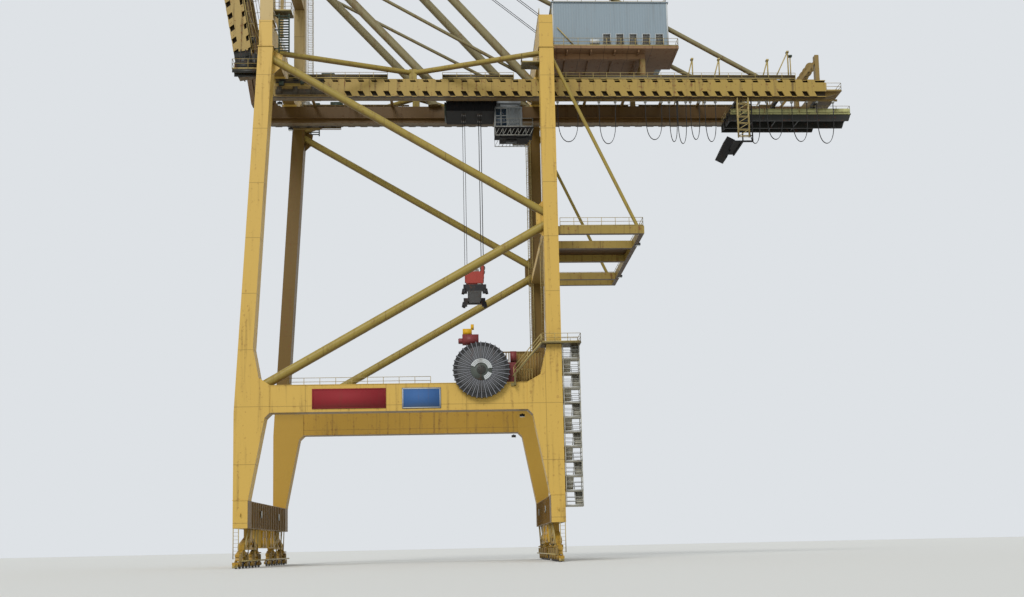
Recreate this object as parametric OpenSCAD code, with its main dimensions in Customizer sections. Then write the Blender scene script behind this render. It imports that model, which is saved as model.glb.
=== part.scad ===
// Ship-to-shore container crane with its boom raised, as a 1:10 scale model.
// All sizes are millimetres of the model, so 100 mm stands for one metre of the real crane.
// The origin lies on the rail-top level, midway between the rails and between the two portal frames.
// X runs from the waterside to the landside, Y along the quay away from the near frame, Z is up.

/* [Rails and frames] */
// Distance between the two rails
rail_gauge = 3048; // [2800:8:3300]
// Distance along the quay between the two portal frames
frame_spacing = 1920; // [1800:10:2200]

/* [Bogies] */
// Tread diameter of a rail wheel
wheel_diameter = 68; // [56:1:80]
// Width of a wheel's tread
wheel_width = 16; // [12:1:20]
// Distance between neighbouring wheels
wheel_pitch = 140; // [130:1:145]
// How far each corner's bogies sit inboard of the portal frame
bogie_inset = 270; // [240:1:280]
// Thickness of a truck's side plate
truck_plate = 7; // [4:1:10]
// Length of the buffer in front of each corner
buffer_length = 44; // [30:1:60]

/* [Sill beams] */
// Height of the sill beam's underside above the rails
sill_bottom = 380; // [370:1:420]
// Height of the sill beam
sill_height = 265; // [220:1:300]
// Width of the sill beam across the quay
sill_width = 142; // [120:1:170]
// Spacing of the stiffener ribs on the sill beam's inner face
rib_pitch = 96; // [70:1:140]

/* [Legs] */
// Width of an upper leg across the quay
leg_width = 145; // [120:1:170]
// Depth of a leg along the quay
leg_depth = 150; // [120:1:180]
// Width of the lower leg where it meets the portal beam
knee_width = 295; // [240:1:340]
// Lean of the waterside legs towards the landside, in degrees
leg_lean = 3.3; // [2.5:0.1:4]
// Height of the leg's top flange
leg_top = 5213; // [5100:1:5400]
// Height of the gusset flare above the portal beam
flare_height = 370; // [250:1:450]

/* [Portal beams] */
// Height of the portal beam's underside
portal_bottom = 1490; // [1400:1:1600]
// Height of the portal beam
portal_height = 270; // [220:1:320]
// Depth of the portal beam along the quay
portal_depth = 138; // [110:1:150]
// Size of the stepped corner under the portal beam
corner_step = 50; // [30:1:70]

/* [Diagonals] */
// Diameter of the lower diagonal tube
lower_tube = 90; // [70:1:110]
// Diameter of the upper diagonal tube
upper_tube = 80; // [60:1:100]
// Height at which the diagonals meet the landside leg
brace_node_z = 3430; // [3300:1:3600]

/* [Trolley girders] */
// Height of the girder's top
girder_top = 5190; // [5080:1:5190]
// Height of the girder box
girder_height = 192; // [160:1:220]
// Width of each girder box
girder_width = 120; // [100:1:140]
// Clear distance between the two girders
girder_gap = 540; // [500:1:600]
// How far the girders reach beyond the landside rail
back_reach = 3130; // [2900:5:3300]
// Spacing of the slanted teeth along the girder's outer band
bracket_pitch = 138.5; // [120:0.5:160]
// Thickness of the toothed band on the girder's outer face
band_thickness = 14; // [8:1:18]
// Width of the girder box behind the band
box_width = 82; // [70:1:90]

/* [Boom] */
// Height of the boom hinge pin above the girder's top
hinge_rise = 40; // [38:1:60]
// How far the boom hinge sits landside of the waterside rail
hinge_inset = 21; // [0:1:60]
// Length of the boom from its hinge to its tip
boom_length = 5000; // [4200:10:5400]
// Angle of the raised boom above the horizontal
boom_angle = 80.3; // [76:0.1:82]
// Radius of the hinge pin
hinge_pin_r = 18; // [14:1:22]

/* [Tower] */
// Height of the tower's cross beam top
tower_beam_top = 6980; // [6800:5:7100]
// Height of the tower's cross beam
tower_beam_height = 270; // [200:5:320]
// Height of the apex
apex_z = 8180; // [8000:5:8400]
// Width of a tower leg
tower_leg_width = 130; // [110:1:140]
// Where the stays from the tower beam land, from the middle of the rail gauge
stay_foot_x = 350; // [320:5:500]
// Where the braces from the leg tops meet on each girder
brace_foot_x = 130; // [0:5:135]
// Where the outer backstays land
backstay_foot_x = 4040; // [3600:5:4200]
// Size of the sheaves at the apex and at the landside end
sheave_diameter = 110; // [80:1:140]
// Diameter of the back leg tubes
back_leg_tube = 90; // [70:1:100]
// Diameter of the tower stay tubes
stay_tube = 90; // [70:1:100]
// Diameter of the thin tie tubes
tie_tube = 35; // [25:1:45]
// Diameter of the outer backstay tubes
backstay_tube = 50; // [40:1:60]

/* [Forestays] */
// Distance from the hinge to the forestay's lug on the boom
stay_lug_distance = 3400; // [3000:10:3800]
// Width of a forestay bar
stay_bar = 40; // [30:1:50]
// Thickness of a forestay bar
stay_bar_t = 22; // [16:1:24]

/* [Machinery house] */
// Length of the house across the quay
house_length = 1270; // [1100:5:1400]
// Width of the house along the quay
house_width = 800; // [760:5:900]
// Width of the walkway beside the house
house_walk = 70; // [50:1:100]
// Height of the house walls
house_height = 530; // [450:5:600]
// Height of the house floor
house_floor = 5530; // [5500:1:5600]

/* [Trolley and spreader] */
// Where the trolley stands, measured from the middle of the gauge
trolley_x = 760; // [700:1:800]
// Length of the trolley frame
trolley_length = 560; // [500:1:600]
// Height of the spreader's underside at rest
spreader_bottom = 2850; // [2700:5:2950]
// Width of the operator cab
cab_width = 220; // [180:5:260]
// Length of the spreader along the quay, drawn in for the short container
spreader_length = 606; // [600:1:620]
// Diameter of a hoist rope
rope_diameter = 5; // [4:0.5:8]

/* [Cable reel] */
// Radius of the reel's rim
reel_radius = 285; // [240:1:300]
// Distance of the reel's centre from the middle of the gauge
reel_x = 800; // [700:1:860]
// Height of the reel's centre
reel_z = 1875; // [1850:1:1950]
// Width of the reel between its spoke rings
reel_width = 46; // [36:1:60]
// Number of spokes
reel_spokes = 36; // [24:1:48]

/* [Stairs] */
// Width of the stair tower
stair_width = 170; // [150:1:190]
// Height from one landing to the next
landing_rise = 145; // [130:1:160]
// Height of the platform round the leg
leg_platform_z = 2130; // [2100:1:2200]

/* [Hidden] */
$fn = 48;

near = -1;
far = 1;
water = -1;
land = 1;
half_frame = frame_spacing / 2;
half_gauge = rail_gauge / 2;
x_out = half_gauge + sill_width / 2;
sill_top = sill_bottom + sill_height;
portal_top = portal_bottom + portal_height;
joint_x = x_out - knee_width - corner_step;
plate = 6;
lip = 8;
fit = 0.3;

// How far the waterside leg's outer face has leaned back at a height
function lean(z) = max(0, z - portal_bottom) * tan(leg_lean);

// A prism with its outline in the XZ plane, centred on y
module xz_prism(pts, y, depth) {
    translate([0, y + depth / 2, 0])
        rotate([90, 0, 0])
            linear_extrude(height = depth)
                polygon(pts);
}

// A prism with its outline in the YZ plane, centred on x
module yz_prism(pts, x, depth) {
    translate([x - depth / 2, 0, 0])
        rotate([90, 0, 90])
            linear_extrude(height = depth)
                polygon(pts);
}

// A box given by its centre in X and Y and its lowest and highest Z
module block(x, y, z0, z1, dx, dy) {
    translate([x - dx / 2, y - dy / 2, z0])
        cube([dx, dy, z1 - z0]);
}

// A straight round bar between two points
module rod(a, b, d, fn = 24) {
    v = b - a;
    len = norm(v);
    translate(a)
        rotate([0, acos(v[2] / len), atan2(v[1], v[0])])
            cylinder(h = len, d = d, $fn = fn);
}

// A straight square bar between two points that share one y
module flat_bar(a, b, w, t) {
    v = b - a;
    len = norm(v);
    translate(a)
        rotate([0, atan2(v[0], v[2]), 0])
            translate([-w / 2, -t / 2, 0])
                cube([w, t, len]);
}

// Sill beams
module sill_beam(side) {
    y_end = half_frame + leg_depth / 2;
    inner = side * (half_gauge - sill_width / 2);
    ribs = floor((frame_spacing - leg_depth) / rib_pitch);
    color("goldenrod") {
        difference() {
            union() {
                block(side * half_gauge, 0, sill_bottom, sill_top, sill_width, 2 * y_end);
                block(side * half_gauge, 0, sill_bottom - jack_pad_t, sill_bottom + 1,
                    jack_pad, jack_pad);
                for (end = [near, far])
                    block(side * half_gauge, end * (jack_pad / 2 + 10 + drive_box / 2),
                        sill_bottom - drive_drop, sill_bottom + 1, 100, drive_box);
                for (i = [0 : ribs - 1])
                    block(inner - side * lip / 2, (i - (ribs - 1) / 2) * rib_pitch,
                        sill_bottom + plate, sill_top - plate, lip, plate);
                for (end = [near, far])
                    block(side * half_gauge, end * (y_end + pad_eye / 2),
                        pad_eye_z - pad_eye / 2, pad_eye_z + pad_eye / 2, pad_eye_t, pad_eye);
            }
            for (end = [near, far])
                translate([side * half_gauge - pad_eye_t, end * (y_end + pad_eye / 2), pad_eye_z])
                    rotate([0, 90, 0])
                        cylinder(h = 2 * pad_eye_t, r = pad_eye_hole);
        }
    }
}
jack_pad = 110;
jack_pad_t = 6;
drive_box = 260;
drive_drop = 188;
pad_eye = 24;
pad_eye_t = 10;
pad_eye_hole = 6;
pad_eye_z = sill_bottom + sill_height / 2;

module sill_beam_waterside() sill_beam(water);
module sill_beam_landside() sill_beam(land);

// Bogies: one main equaliser, two sub-equalisers and four two-wheel trucks at each corner
wheel_r = wheel_diameter / 2;
truck_top = wheel_diameter + 14;
truck_gap = wheel_width + 2 * 7;
truck_outer = truck_gap + 2 * truck_plate;
sub_pivot_z = truck_top + 60;
main_pivot_z = sub_pivot_z + 95;
corner_y = half_frame - bogie_inset;
pin_r = 9;

module truck(x, y) {
    half = wheel_pitch / 2 + wheel_r * 0.62;
    for (s = [-1, 1])
        yz_prism([[y - half, wheel_r - 14], [y - half, wheel_r + 8], [y - 24, truck_top],
            [y + 24, truck_top], [y + half, wheel_r + 8], [y + half, wheel_r - 14]],
            x + s * (truck_gap + truck_plate) / 2, truck_plate);
    block(x, y, truck_top - 12, truck_top, truck_outer, 48);
    yz_prism([[y - 20, truck_top], [y - 12, truck_top + 26], [y + 12, truck_top + 26],
        [y + 20, truck_top]], x, truck_outer);
}

module sub_equaliser(x, y) {
    reach = wheel_pitch;
    low = truck_top + 26;
    yz_prism([[y - reach - 22, low], [y - reach - 22, low + 22], [y - 26, sub_pivot_z + 34],
        [y + 26, sub_pivot_z + 34], [y + reach + 22, low + 22], [y + reach + 22, low]],
        x, truck_outer + 4);
}

module main_equaliser(x, y) {
    reach = 2 * wheel_pitch;
    low = sub_pivot_z + 34;
    difference() {
        yz_prism([[y - reach - 30, low], [y - reach - 30, low + 44], [y - 60, main_pivot_z + 62],
            [y - 60, sill_bottom], [y + 60, sill_bottom], [y + 60, main_pivot_z + 62],
            [y + reach + 30, low + 44], [y + reach + 30, low]], x, truck_outer + 16);
        for (s = [-1, 1])
            yz_prism([[y + s * 46, low + 24], [y + s * (reach - 70), low + 24],
                [y + s * 46, main_pivot_z + 36]], x, truck_outer + 40);
    }
}

module bogies(side, end) {
    x = side * half_gauge;
    y = end * corner_y;
    nose = y + end * (3.5 * wheel_pitch + wheel_r + 4);
    color("goldenrod") {
        main_equaliser(x, y);
        for (i = [-1, 1])
            sub_equaliser(x, y + i * 2 * wheel_pitch);
        for (i = [-3, -1, 1, 3])
            truck(x, y + i * wheel_pitch);
        for (i = [-1, 1])
            translate([x - truck_outer / 2 - 8, y + i * 2 * wheel_pitch, sub_pivot_z + 8])
                rotate([0, 90, 0])
                    cylinder(h = truck_outer + 16, r = pin_r);
        translate([x, nose, wheel_r + 6])
            rotate([-90 * end, 0, 0])
                cylinder(h = buffer_length, r = 13);
        block(x, nose + end * 5, wheel_r - 14, wheel_r + 26, truck_outer + 10, 10);
        for (s = [-1, 1])
            block(x + s * (truck_gap + truck_plate) / 2, nose - end * (wheel_r / 2 - 2),
                wheel_r - 10, wheel_r + 8, truck_plate, wheel_r);
    }
}

module bogies_waterside_near() bogies(water, near);
module bogies_waterside_far() bogies(water, far);
module bogies_landside_near() bogies(land, near);
module bogies_landside_far() bogies(land, far);

module wheels(side) {
    color("dimgray")
        for (end = [near, far], i = [-3.5 : 1 : 3.5])
            translate([side * half_gauge, end * corner_y + i * wheel_pitch, wheel_r])
                rotate([0, 90, 0]) {
                    cylinder(h = wheel_width, r = wheel_r, center = true);
                    cylinder(h = truck_gap, r = 8, center = true);
                }
}
module wheels_waterside() wheels(water);
module wheels_landside() wheels(land);

// Legs with their knees, the flare above the portal beam and the gussets of the diagonals
gusset_t = 14;
module leg(side, end) {
    back = side == water ? 1 : 0;
    y = end * half_frame;
    top_out = x_out - back * lean(leg_top);
    flare_z = portal_top + flare_height;
    flare_x = x_out - back * lean(flare_z) - leg_width;
    pts = [
        [x_out, sill_top], [x_out, portal_bottom], [top_out, leg_top],
        [top_out - leg_width, leg_top], [flare_x, flare_z],
        [joint_x + (flare_x - joint_x) * 0.66, portal_top + flare_height * 0.2],
        [joint_x, portal_top], [joint_x, portal_bottom],
        [x_out - knee_width, portal_bottom - corner_step], [x_out - sill_width, sill_top]
    ];
    head_x = x_out - lean(head_z) - leg_width;
    color("goldenrod") {
        xz_prism([for (p = pts) [side * p[0], p[1]]], y, leg_depth);
        block(side * (top_out - leg_width / 2), y, leg_top - plate, leg_top,
            leg_width + 2 * lip, leg_depth + 2 * lip);
        block(side * (x_out - sill_width / 2), y, sill_top, sill_top + plate,
            sill_width + lip, leg_depth + lip);
        if (side == land)
            xz_prism([[node_x + 5, brace_node_z - 190], [node_x - 70, brace_node_z - 120],
                [node_x - 70, brace_node_z + 120], [node_x + 5, brace_node_z + 190]], y, gusset_t);
        else
            xz_prism([[-head_x - 5, head_z + 60], [-head_x + 90, head_z + 10],
                [-head_x + 70, head_z - 120], [-head_x - 5, head_z - 190]], y, gusset_t);
    }
}
module waterside_leg_near() leg(water, near);
module waterside_leg_far() leg(water, far);
module landside_leg_near() leg(land, near);
module landside_leg_far() leg(land, far);

// Portal beams
module portal_beam(end) {
    color("goldenrod") {
        block(0, end * half_frame, portal_bottom, portal_top, 2 * joint_x, portal_depth);
        for (z = [portal_bottom, portal_top - plate])
            block(0, end * half_frame, z, z + plate, 2 * joint_x, portal_depth + lip);
    }
}
module portal_beam_near() portal_beam(near);
module portal_beam_far() portal_beam(far);

// Diagonal tubes from the waterside leg to one node on the landside leg
node_spread = 58;
node_x = x_out - leg_width;
foot_z = portal_top + 17;
head_z = leg_top - 73;
module diagonals(end) {
    y = end * half_frame;
    foot = [-joint_x - 60, y, foot_z];
    head = [-x_out + lean(leg_top) + leg_width / 2, y, head_z];
    color("goldenrod")
        difference() {
            union() {
                rod(foot, [node_x + 30, y, brace_node_z - node_spread], lower_tube);
                rod(head, [node_x + 30, y, brace_node_z + node_spread], upper_tube);
            }
            leg(water, end);
            leg(land, end);
            portal_beam(end);
        }
}
module diagonals_near() diagonals(near);
module diagonals_far() diagonals(far);

// Cross beams that tie the near and far frames above the girders
water_beam_x = -x_out + lean(leg_top) + leg_width / 2;
land_beam_x = x_out - leg_width / 2;
water_beam_top = leg_top + 272;
land_beam_top = leg_top + 344;
cross_end = half_frame + leg_depth / 2;
girder_y = (girder_gap + girder_width) / 2;

module cross_beam(x, width, top) {
    color("goldenrod") {
        block(x, 0, leg_top, top, width, 2 * cross_end);
        for (s = [near, far])
            block(x, s * girder_y, girder_top, leg_top, width + 30, girder_width);
    }
}
module waterside_cross_beam() cross_beam(water_beam_x, leg_width - 12, water_beam_top);
module landside_cross_beam() cross_beam(land_beam_x, leg_width - 4, land_beam_top);

// Mid-level platform on the landside legs
mid_z0 = 3267;
mid_z1 = 3347;
outrigger_x = 2470;
outrigger_w = 46;
outrigger_y = [-half_frame, -half_frame / 2, 0, 0.74 * half_frame, half_frame];
mid_inner = half_frame - leg_depth / 2;
module landside_mid_beam() {
    color("goldenrod")
        block(land_beam_x, 0, mid_z0, mid_z1, leg_width, 2 * mid_inner);
}
module outrigger_frame() {
    color("goldenrod") {
        for (y = outrigger_y)
            translate([x_out, y - outrigger_w / 2, mid_z0])
                cube([outrigger_x - x_out, outrigger_w, mid_z1 - mid_z0]);
        block(outrigger_x - outrigger_w / 2, 0, mid_z0, mid_z1, outrigger_w,
            frame_spacing + outrigger_w);
        translate([x_out, -half_frame / 2, mid_z1 - plate])
            cube([outrigger_x - x_out, half_frame / 2, plate]);
    }
}
module outrigger_ties() {
    color("goldenrod")
        for (s = [near, far])
            difference() {
                rod([x_out - 20, s * half_frame, leg_top - 60],
                    [outrigger_x - 60, s * half_frame, mid_z1 - 10], tie_tube);
                leg(land, s);
                outrigger_frame();
            }
}

// Trolley girders: a box with flanges, a rail ledge inside and a toothed band outside
girder_bottom = girder_top - girder_height;
hinge_x = -half_gauge + hinge_inset;
hinge_z = girder_top + hinge_rise;
hinge_eye_r = hinge_pin_r + 16;
boom_root = 30;
boom_gap = 3;
girder_x0 = hinge_x - boom_root + boom_gap;
girder_x1 = half_gauge + back_reach;
ledge_rise = 42;
ledge_z = girder_bottom + ledge_rise;
ledge_w = 26;
ledge_t = 12;
flange_t = 8;
tooth_low = 57;
tooth_high = 35;
tooth_share = 0.58;
girder_in = girder_gap / 2;
girder_out = girder_in + girder_width;

// One edge of the band as slanted teeth, from left to right
function tooth_edge(x0, n, z_edge, z_tip, slant) = [
    for (i = [0 : n - 1], q = [[0, z_edge], [slant, z_tip],
        [slant + bracket_pitch * tooth_share, z_tip], [bracket_pitch * tooth_share, z_edge]])
        [x0 + i * bracket_pitch + q[0], q[1]]
];
function backwards(pts) = [for (i = [len(pts) - 1 : -1 : 0]) pts[i]];

// A length of girder with its underside at height low, on the side given by end
module girder_section(x0, x1, low, end) {
    high = low + girder_height;
    n = floor((x1 - x0 - 60) / bracket_pitch);
    web_y = girder_out - band_thickness;
    lower = tooth_edge(x0 + 14, n, low + tooth_low, low, 30);
    upper = tooth_edge(x0 + 34, n, high - tooth_high, high, -18);
    mirror([0, end == near ? 1 : 0, 0]) {
        translate([x0, girder_in, low])
            cube([x1 - x0, box_width, girder_height]);
        for (z = [low, high - flange_t])
            translate([x0, girder_in, z])
                cube([x1 - x0, web_y - girder_in, flange_t]);
        xz_prism(concat([[x0, low + tooth_low]], lower, [[x1, low + tooth_low],
            [x1, high - tooth_high]], backwards(upper), [[x0, high - tooth_high]]),
            girder_out - band_thickness / 2, band_thickness);
        translate([x0, girder_in - ledge_w, low + ledge_rise])
            cube([x1 - x0, ledge_w, ledge_t]);
    }
}
module girder(end) {
    y = end * girder_y;
    color("goldenrod") {
        girder_section(girder_x0, girder_x1, girder_bottom, end);
        for (s = [-1, 1])
            xz_prism([[girder_x0, girder_top - 30], [girder_x0, hinge_z],
                [girder_x0 + 12, hinge_z + 26], [hinge_x + 20, hinge_z + 26],
                [hinge_x + 140, girder_top - 30]],
                y + s * (girder_width / 2 - 5), 10);
        translate([hinge_x, y, hinge_z])
            rotate([90, 0, 0])
                cylinder(h = girder_width + 16, r = hinge_pin_r, center = true);
    }
}
module girder_near() girder(near);
module girder_far() girder(far);

// Ties across the gap between the girders, above the trolley
tie_pitch = 440;
tie_x = [for (i = [-3 : 9]) 300 + i * tie_pitch];
tie_h = 20;
module girder_ties() {
    color("darkgoldenrod") {
        for (x = tie_x)
            if (stop_distance(x) > tie_h)
                block(x, 0, girder_top, girder_top + tie_h, 30, girder_gap + box_width);
        block(girder_x1 - 30, 0, ledge_z + ledge_t, girder_top - 20, 60, girder_gap);
    }
}

// Walkways on top of the girders, with a gap at each tube or post that lands there
walk_in = girder_in + box_width / 2 + 6;
walk_w = girder_out - band_thickness - walk_in;
house_x0 = x_out + 60;
house_x1 = house_x0 + house_length;
post_x = house_x1 - 285;
post_w = 56;
walk_stops = [[water_beam_x, 90], [brace_foot_x, 60], [stay_foot_x, 85],
    [land_beam_x - 70, 190], [post_x, 45], [backstay_foot_x, 120], [girder_x1, 330]];
function stop_distance(x) = min([for (q = walk_stops) abs(x - q[0]) - q[1]]);
module girder_walkways() {
    color("olive")
        for (s = [near, far], i = [0 : len(walk_stops) - 2]) {
            x0 = walk_stops[i][0] + walk_stops[i][1];
            x1 = walk_stops[i + 1][0] - walk_stops[i + 1][1];
            translate([x0, s * (walk_in + walk_w / 2) - walk_w / 2, girder_top])
                cube([x1 - x0, walk_w, plate]);
        }
}

// Sheave frame and deck on the landside end of the girders
end_post_x = girder_x1 - 75;
end_post_h = 300;
end_deck_x = girder_x1 + 175;
module girder_end_frame() {
    shaft_z = girder_top + end_post_h - 40;
    color("darkgoldenrod") {
        for (s = [near, far])
            difference() {
                union() {
                    block(end_post_x, s * girder_y, girder_top, girder_top + end_post_h, 44, 60);
                    xz_prism([[end_post_x - 230, girder_top], [end_post_x - 10, shaft_z],
                        [end_post_x - 10, shaft_z - 40], [end_post_x - 190, girder_top]],
                        s * girder_y, 30);
                }
                girder(s);
            }
        translate([end_post_x, 0, shaft_z])
            rotate([90, 0, 0])
                cylinder(h = 2 * girder_y, r = 12, center = true);
        for (y = [-150, -50, 50, 150])
            translate([end_post_x, y, shaft_z])
                rotate([90, 0, 0])
                    sheave(sheave_diameter / 2);
        translate([girder_x1, -girder_out, girder_bottom + 60])
            cube([end_deck_x - girder_x1, 2 * girder_out, plate]);
        for (s = [near, far])
            xz_prism([[girder_x1, girder_bottom + 60], [end_deck_x - 20, girder_bottom + 60],
                [girder_x1, girder_bottom + 10]], s * girder_y, 12);
    }
}
module sheave(r) {
    rotate_extrude()
        polygon([[0, -9], [r, -9], [r - 8, -3], [r - 8, 3], [r, 9], [0, 9]]);
}

// Maintenance platform hung between the girders under their landside end
hung_z = girder_bottom - 93;
hung_x0 = girder_x1 - 1034;
hung_x1 = girder_x1 + 46;
hung_tip = girder_x1 + 356;
hung_near = -165;
hung_far = 150;
hung_step = 45;
hung_edge = 84;
module hung_edge_beam(x0, x1, y) {
    xz_prism([[x0, hung_z - hung_edge], [x0, hung_z - 1], [x1, hung_z - 1],
        [x1 - 30, hung_z - hung_edge]], y, 16);
}
module end_platform() {
    color("olive") {
        translate([hung_x0, hung_near, hung_z - 12])
            cube([hung_x1 - hung_x0, hung_far - hung_near, 12]);
        translate([hung_x1 - 1, hung_near, hung_z - 12])
            cube([hung_tip - hung_x1 + 1, hung_step - hung_near, 12]);
        hung_edge_beam(hung_x0, hung_tip, hung_near + 9);
        hung_edge_beam(hung_x0, hung_tip, hung_step - 9);
        hung_edge_beam(hung_x0, hung_x1, hung_far - 9);
        for (x = [hung_x0 + 10 : 260 : hung_x1 - 40])
            translate([x, hung_near + 2, hung_z - hung_edge + 10])
                cube([14, hung_far - hung_near - 4, hung_edge - 11]);
        for (x = [hung_x0 + 80, hung_x0 + 530, hung_x1 - 100]) {
            block(x, 0, girder_bottom + 7, ledge_z - 5, 30, girder_gap);
            for (y = [hung_near + 25, hung_far - 10])
                block(x, y, hung_z - 1, girder_bottom + 8, 16, 16);
        }
    }
}

// Tilted service box on a ladder frame that hangs from the near girder
ladder_x0 = hung_x0 + 105;
ladder_x1 = ladder_x0 + 110;
ladder_low = girder_bottom - 478;
ladder_y = -girder_in - box_width / 2;
module service_box() {
    color("darkslategray") {
        translate([ladder_x0 - 115, 0, ladder_low + 30])
            rotate([0, 27, 0])
                translate([-50, -90, -115])
                    cube([100, 180, 230]);
        for (x = [ladder_x0, ladder_x1])
            block(x, ladder_y, ladder_low, girder_bottom, 12, 12);
        for (z = [ladder_low : 60 : girder_bottom - 20])
            block((ladder_x0 + ladder_x1) / 2, ladder_y, z, z + 8, ladder_x1 - ladder_x0, 10);
        for (x = [ladder_x0 - 90, ladder_x0])
            translate([x - 8, ladder_y, ladder_low - 8])
                cube([16, 70 - ladder_y, 14]);
        translate([ladder_x0 - 98, ladder_y - 6, ladder_low - 8])
            cube([ladder_x1 - ladder_x0 + 104, 16, 14]);
        translate([ladder_x0 - 98, ladder_y, ladder_low + 5])
            cube([106, 70 - ladder_y, 4]);
    }
}

// Braces in plan from the leg tops to a post on each girder
plan_tube = 55;
brace_y = girder_in + box_width / 2;
brace_rise = 108;
module plan_braces() {
    z0 = leg_top - 24;
    z1 = girder_top + brace_rise;
    color("goldenrod")
        for (s = [near, far])
            difference() {
                union() {
                    rod([water_beam_x + 20, s * half_frame, z0],
                        [brace_foot_x - 24, s * brace_y, z1], plan_tube);
                    rod([land_beam_x - 20, s * half_frame, z0],
                        [brace_foot_x + 24, s * brace_y, z1], plan_tube);
                    block(brace_foot_x, s * brace_y, girder_top, z1 + plan_tube / 2 + 4, 80, 50);
                }
                leg(water, s);
                leg(land, s);
                waterside_cross_beam();
                landside_cross_beam();
            }
}

// Tower above the waterside cross beam
tower_x = water_beam_x + 6;
tower_base = water_beam_top;
module tower_leg(end) {
    color("goldenrod") {
        block(tower_x, end * half_frame, tower_base, tower_beam_top, tower_leg_width,
            tower_leg_width);
        block(tower_x, end * half_frame, tower_base, tower_base + plate,
            tower_leg_width + 2 * lip, tower_leg_width + 2 * lip);
    }
}
module tower_leg_near() tower_leg(near);
module tower_leg_far() tower_leg(far);
module tower_beam() {
    color("goldenrod")
        block(tower_x, 0, tower_beam_top - tower_beam_height, tower_beam_top,
            tower_leg_width - 10, frame_spacing - tower_leg_width);
}

// Tower tops that lean together to the apex beam
apex_beam_h = 140;
top_out_y = 330;
top_in_y = 220;
module tower_top(end) {
    color("goldenrod")
        yz_prism([[end * (half_frame - tower_leg_width / 2), tower_beam_top],
            [end * (half_frame + tower_leg_width / 2), tower_beam_top],
            [end * top_out_y, apex_z - apex_beam_h / 2], [end * top_in_y, apex_z - apex_beam_h / 2]],
            tower_x, tower_leg_width - 10);
}
module tower_top_near() tower_top(near);
module tower_top_far() tower_top(far);
module apex_beam() {
    bar_in = stay_y + stay_bar_t + 4;
    top = apex_z + apex_beam_h / 2;
    color("goldenrod") {
        block(tower_x, 0, apex_z - apex_beam_h / 2, top, tower_leg_width - 10, 2 * (bar_in - 2));
        for (s = [near, far]) {
            block(apex_pin[0] + 20, s * (bar_in - 9), apex_z - 32, apex_z + 32, 84, 14);
            pin_y(apex_pin, s * (bar_in - 16), s * (bar_in + stay_bar_t + 2), stay_pin_r);
            pin_y(apex_pin, s * (bar_in + stay_bar_t + 2), s * (bar_in + stay_bar_t + 7),
                stay_pin_r + 6);
        }
        for (y = [-210, -70, 70, 210])
            block(tower_x, y, top - 1, top + 90, 70, 10);
        translate([tower_x, 0, top + 62])
            rotate([90, 0, 0])
                cylinder(h = 440, r = 12, center = true);
        for (y = [-140, 0, 140])
            translate([tower_x, y, top + 62])
                rotate([90, 0, 0])
                    sheave(sheave_diameter / 2);
    }
}

// Everything below the girders' top face, which the tubes from the tower stand on
head_x = tower_x + 40;
module under_girders() {
    translate([girder_x0, -half_frame, girder_bottom])
        cube([girder_x1 - girder_x0, frame_spacing, girder_height]);
}

// Back legs from the apex to the landside end of the portal
module back_legs() {
    y = girder_y;
    color("goldenrod")
        for (s = [near, far])
            difference() {
                rod([head_x, s * y, apex_z + 20],
                    [land_beam_x - 104, s * (y - 10), girder_top - 10], back_leg_tube);
                apex_beam();
                tower_top(s);
                under_girders();
                landside_cross_beam();
            }
}

// Stays from the tower beam to the middle of the girders, and the thin ties beside them
// that end at the landside cross beam
stay_head_y = girder_in - 20;
module tower_stays() {
    color("goldenrod")
        for (s = [near, far]) {
            difference() {
                union() {
                    rod([head_x, s * stay_head_y, tower_beam_top - 45],
                        [stay_foot_x + 9, s * stay_head_y, girder_top - 10], stay_tube);
                    block(stay_foot_x - 5, s * (stay_head_y + 32), girder_top, girder_top + 12,
                        150, 126);
                }
                tower_beam();
                under_girders();
            }
            difference() {
                rod([head_x, s * (stay_head_y + 80), tower_beam_top - 230],
                    [land_beam_x - 56, s * (stay_head_y - 2), leg_top + 21], tie_tube);
                tower_beam();
                landside_cross_beam();
            }
        }
}

// Outer backstays from the apex to the landside end of the girders
module backstay_tubes(s, extra = 0) {
    rod([head_x, s * (girder_out + 15), apex_z - 41],
        [backstay_foot_x + 18, s * (girder_in + box_width / 2), girder_top - 10],
        backstay_tube + extra);
}
module backstays() {
    color("goldenrod")
        for (s = [near, far])
            difference() {
                backstay_tubes(s);
                apex_beam();
                under_girders();
            }
}

// Machinery house on its deck, carried by the landside cross beam and two posts
deck_half = house_width / 2 + house_walk;
deck_x1 = house_x1 - 75;
deck_t = 30;
bearer_h = 60;
roof_lip = 12;
module house_deck() {
    z = house_floor - deck_t;
    color("sienna") {
        translate([house_x0 - 50, -deck_half, z])
            cube([deck_x1 - house_x0 + 50, 2 * deck_half, deck_t]);
        translate([deck_x1 - 1, -deck_half, z])
            cube([170, deck_half, deck_t]);
        for (s = [near, far]) {
            translate([x_out, s * girder_y - 20, z - bearer_h])
                cube([post_x + post_w / 2 - x_out, 40, bearer_h]);
            translate([x_out, s * girder_y - 20, z - 1])
                cube([house_x0 - x_out, 40, deck_t]);
        }
        for (x = [house_x0 + 150 : 260 : deck_x1 - 40])
            block(x, 0, z - 26, z, 14, 2 * deck_half - 40);
    }
}
module house_support() {
    z = house_floor - deck_t - bearer_h;
    color("goldenrod") {
        for (s = [near, far])
            block(post_x, s * girder_y, girder_top, z, post_w, post_w);
        block(post_x, 0, z - 50, z - 10, 30, 2 * girder_y);
    }
}
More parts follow.
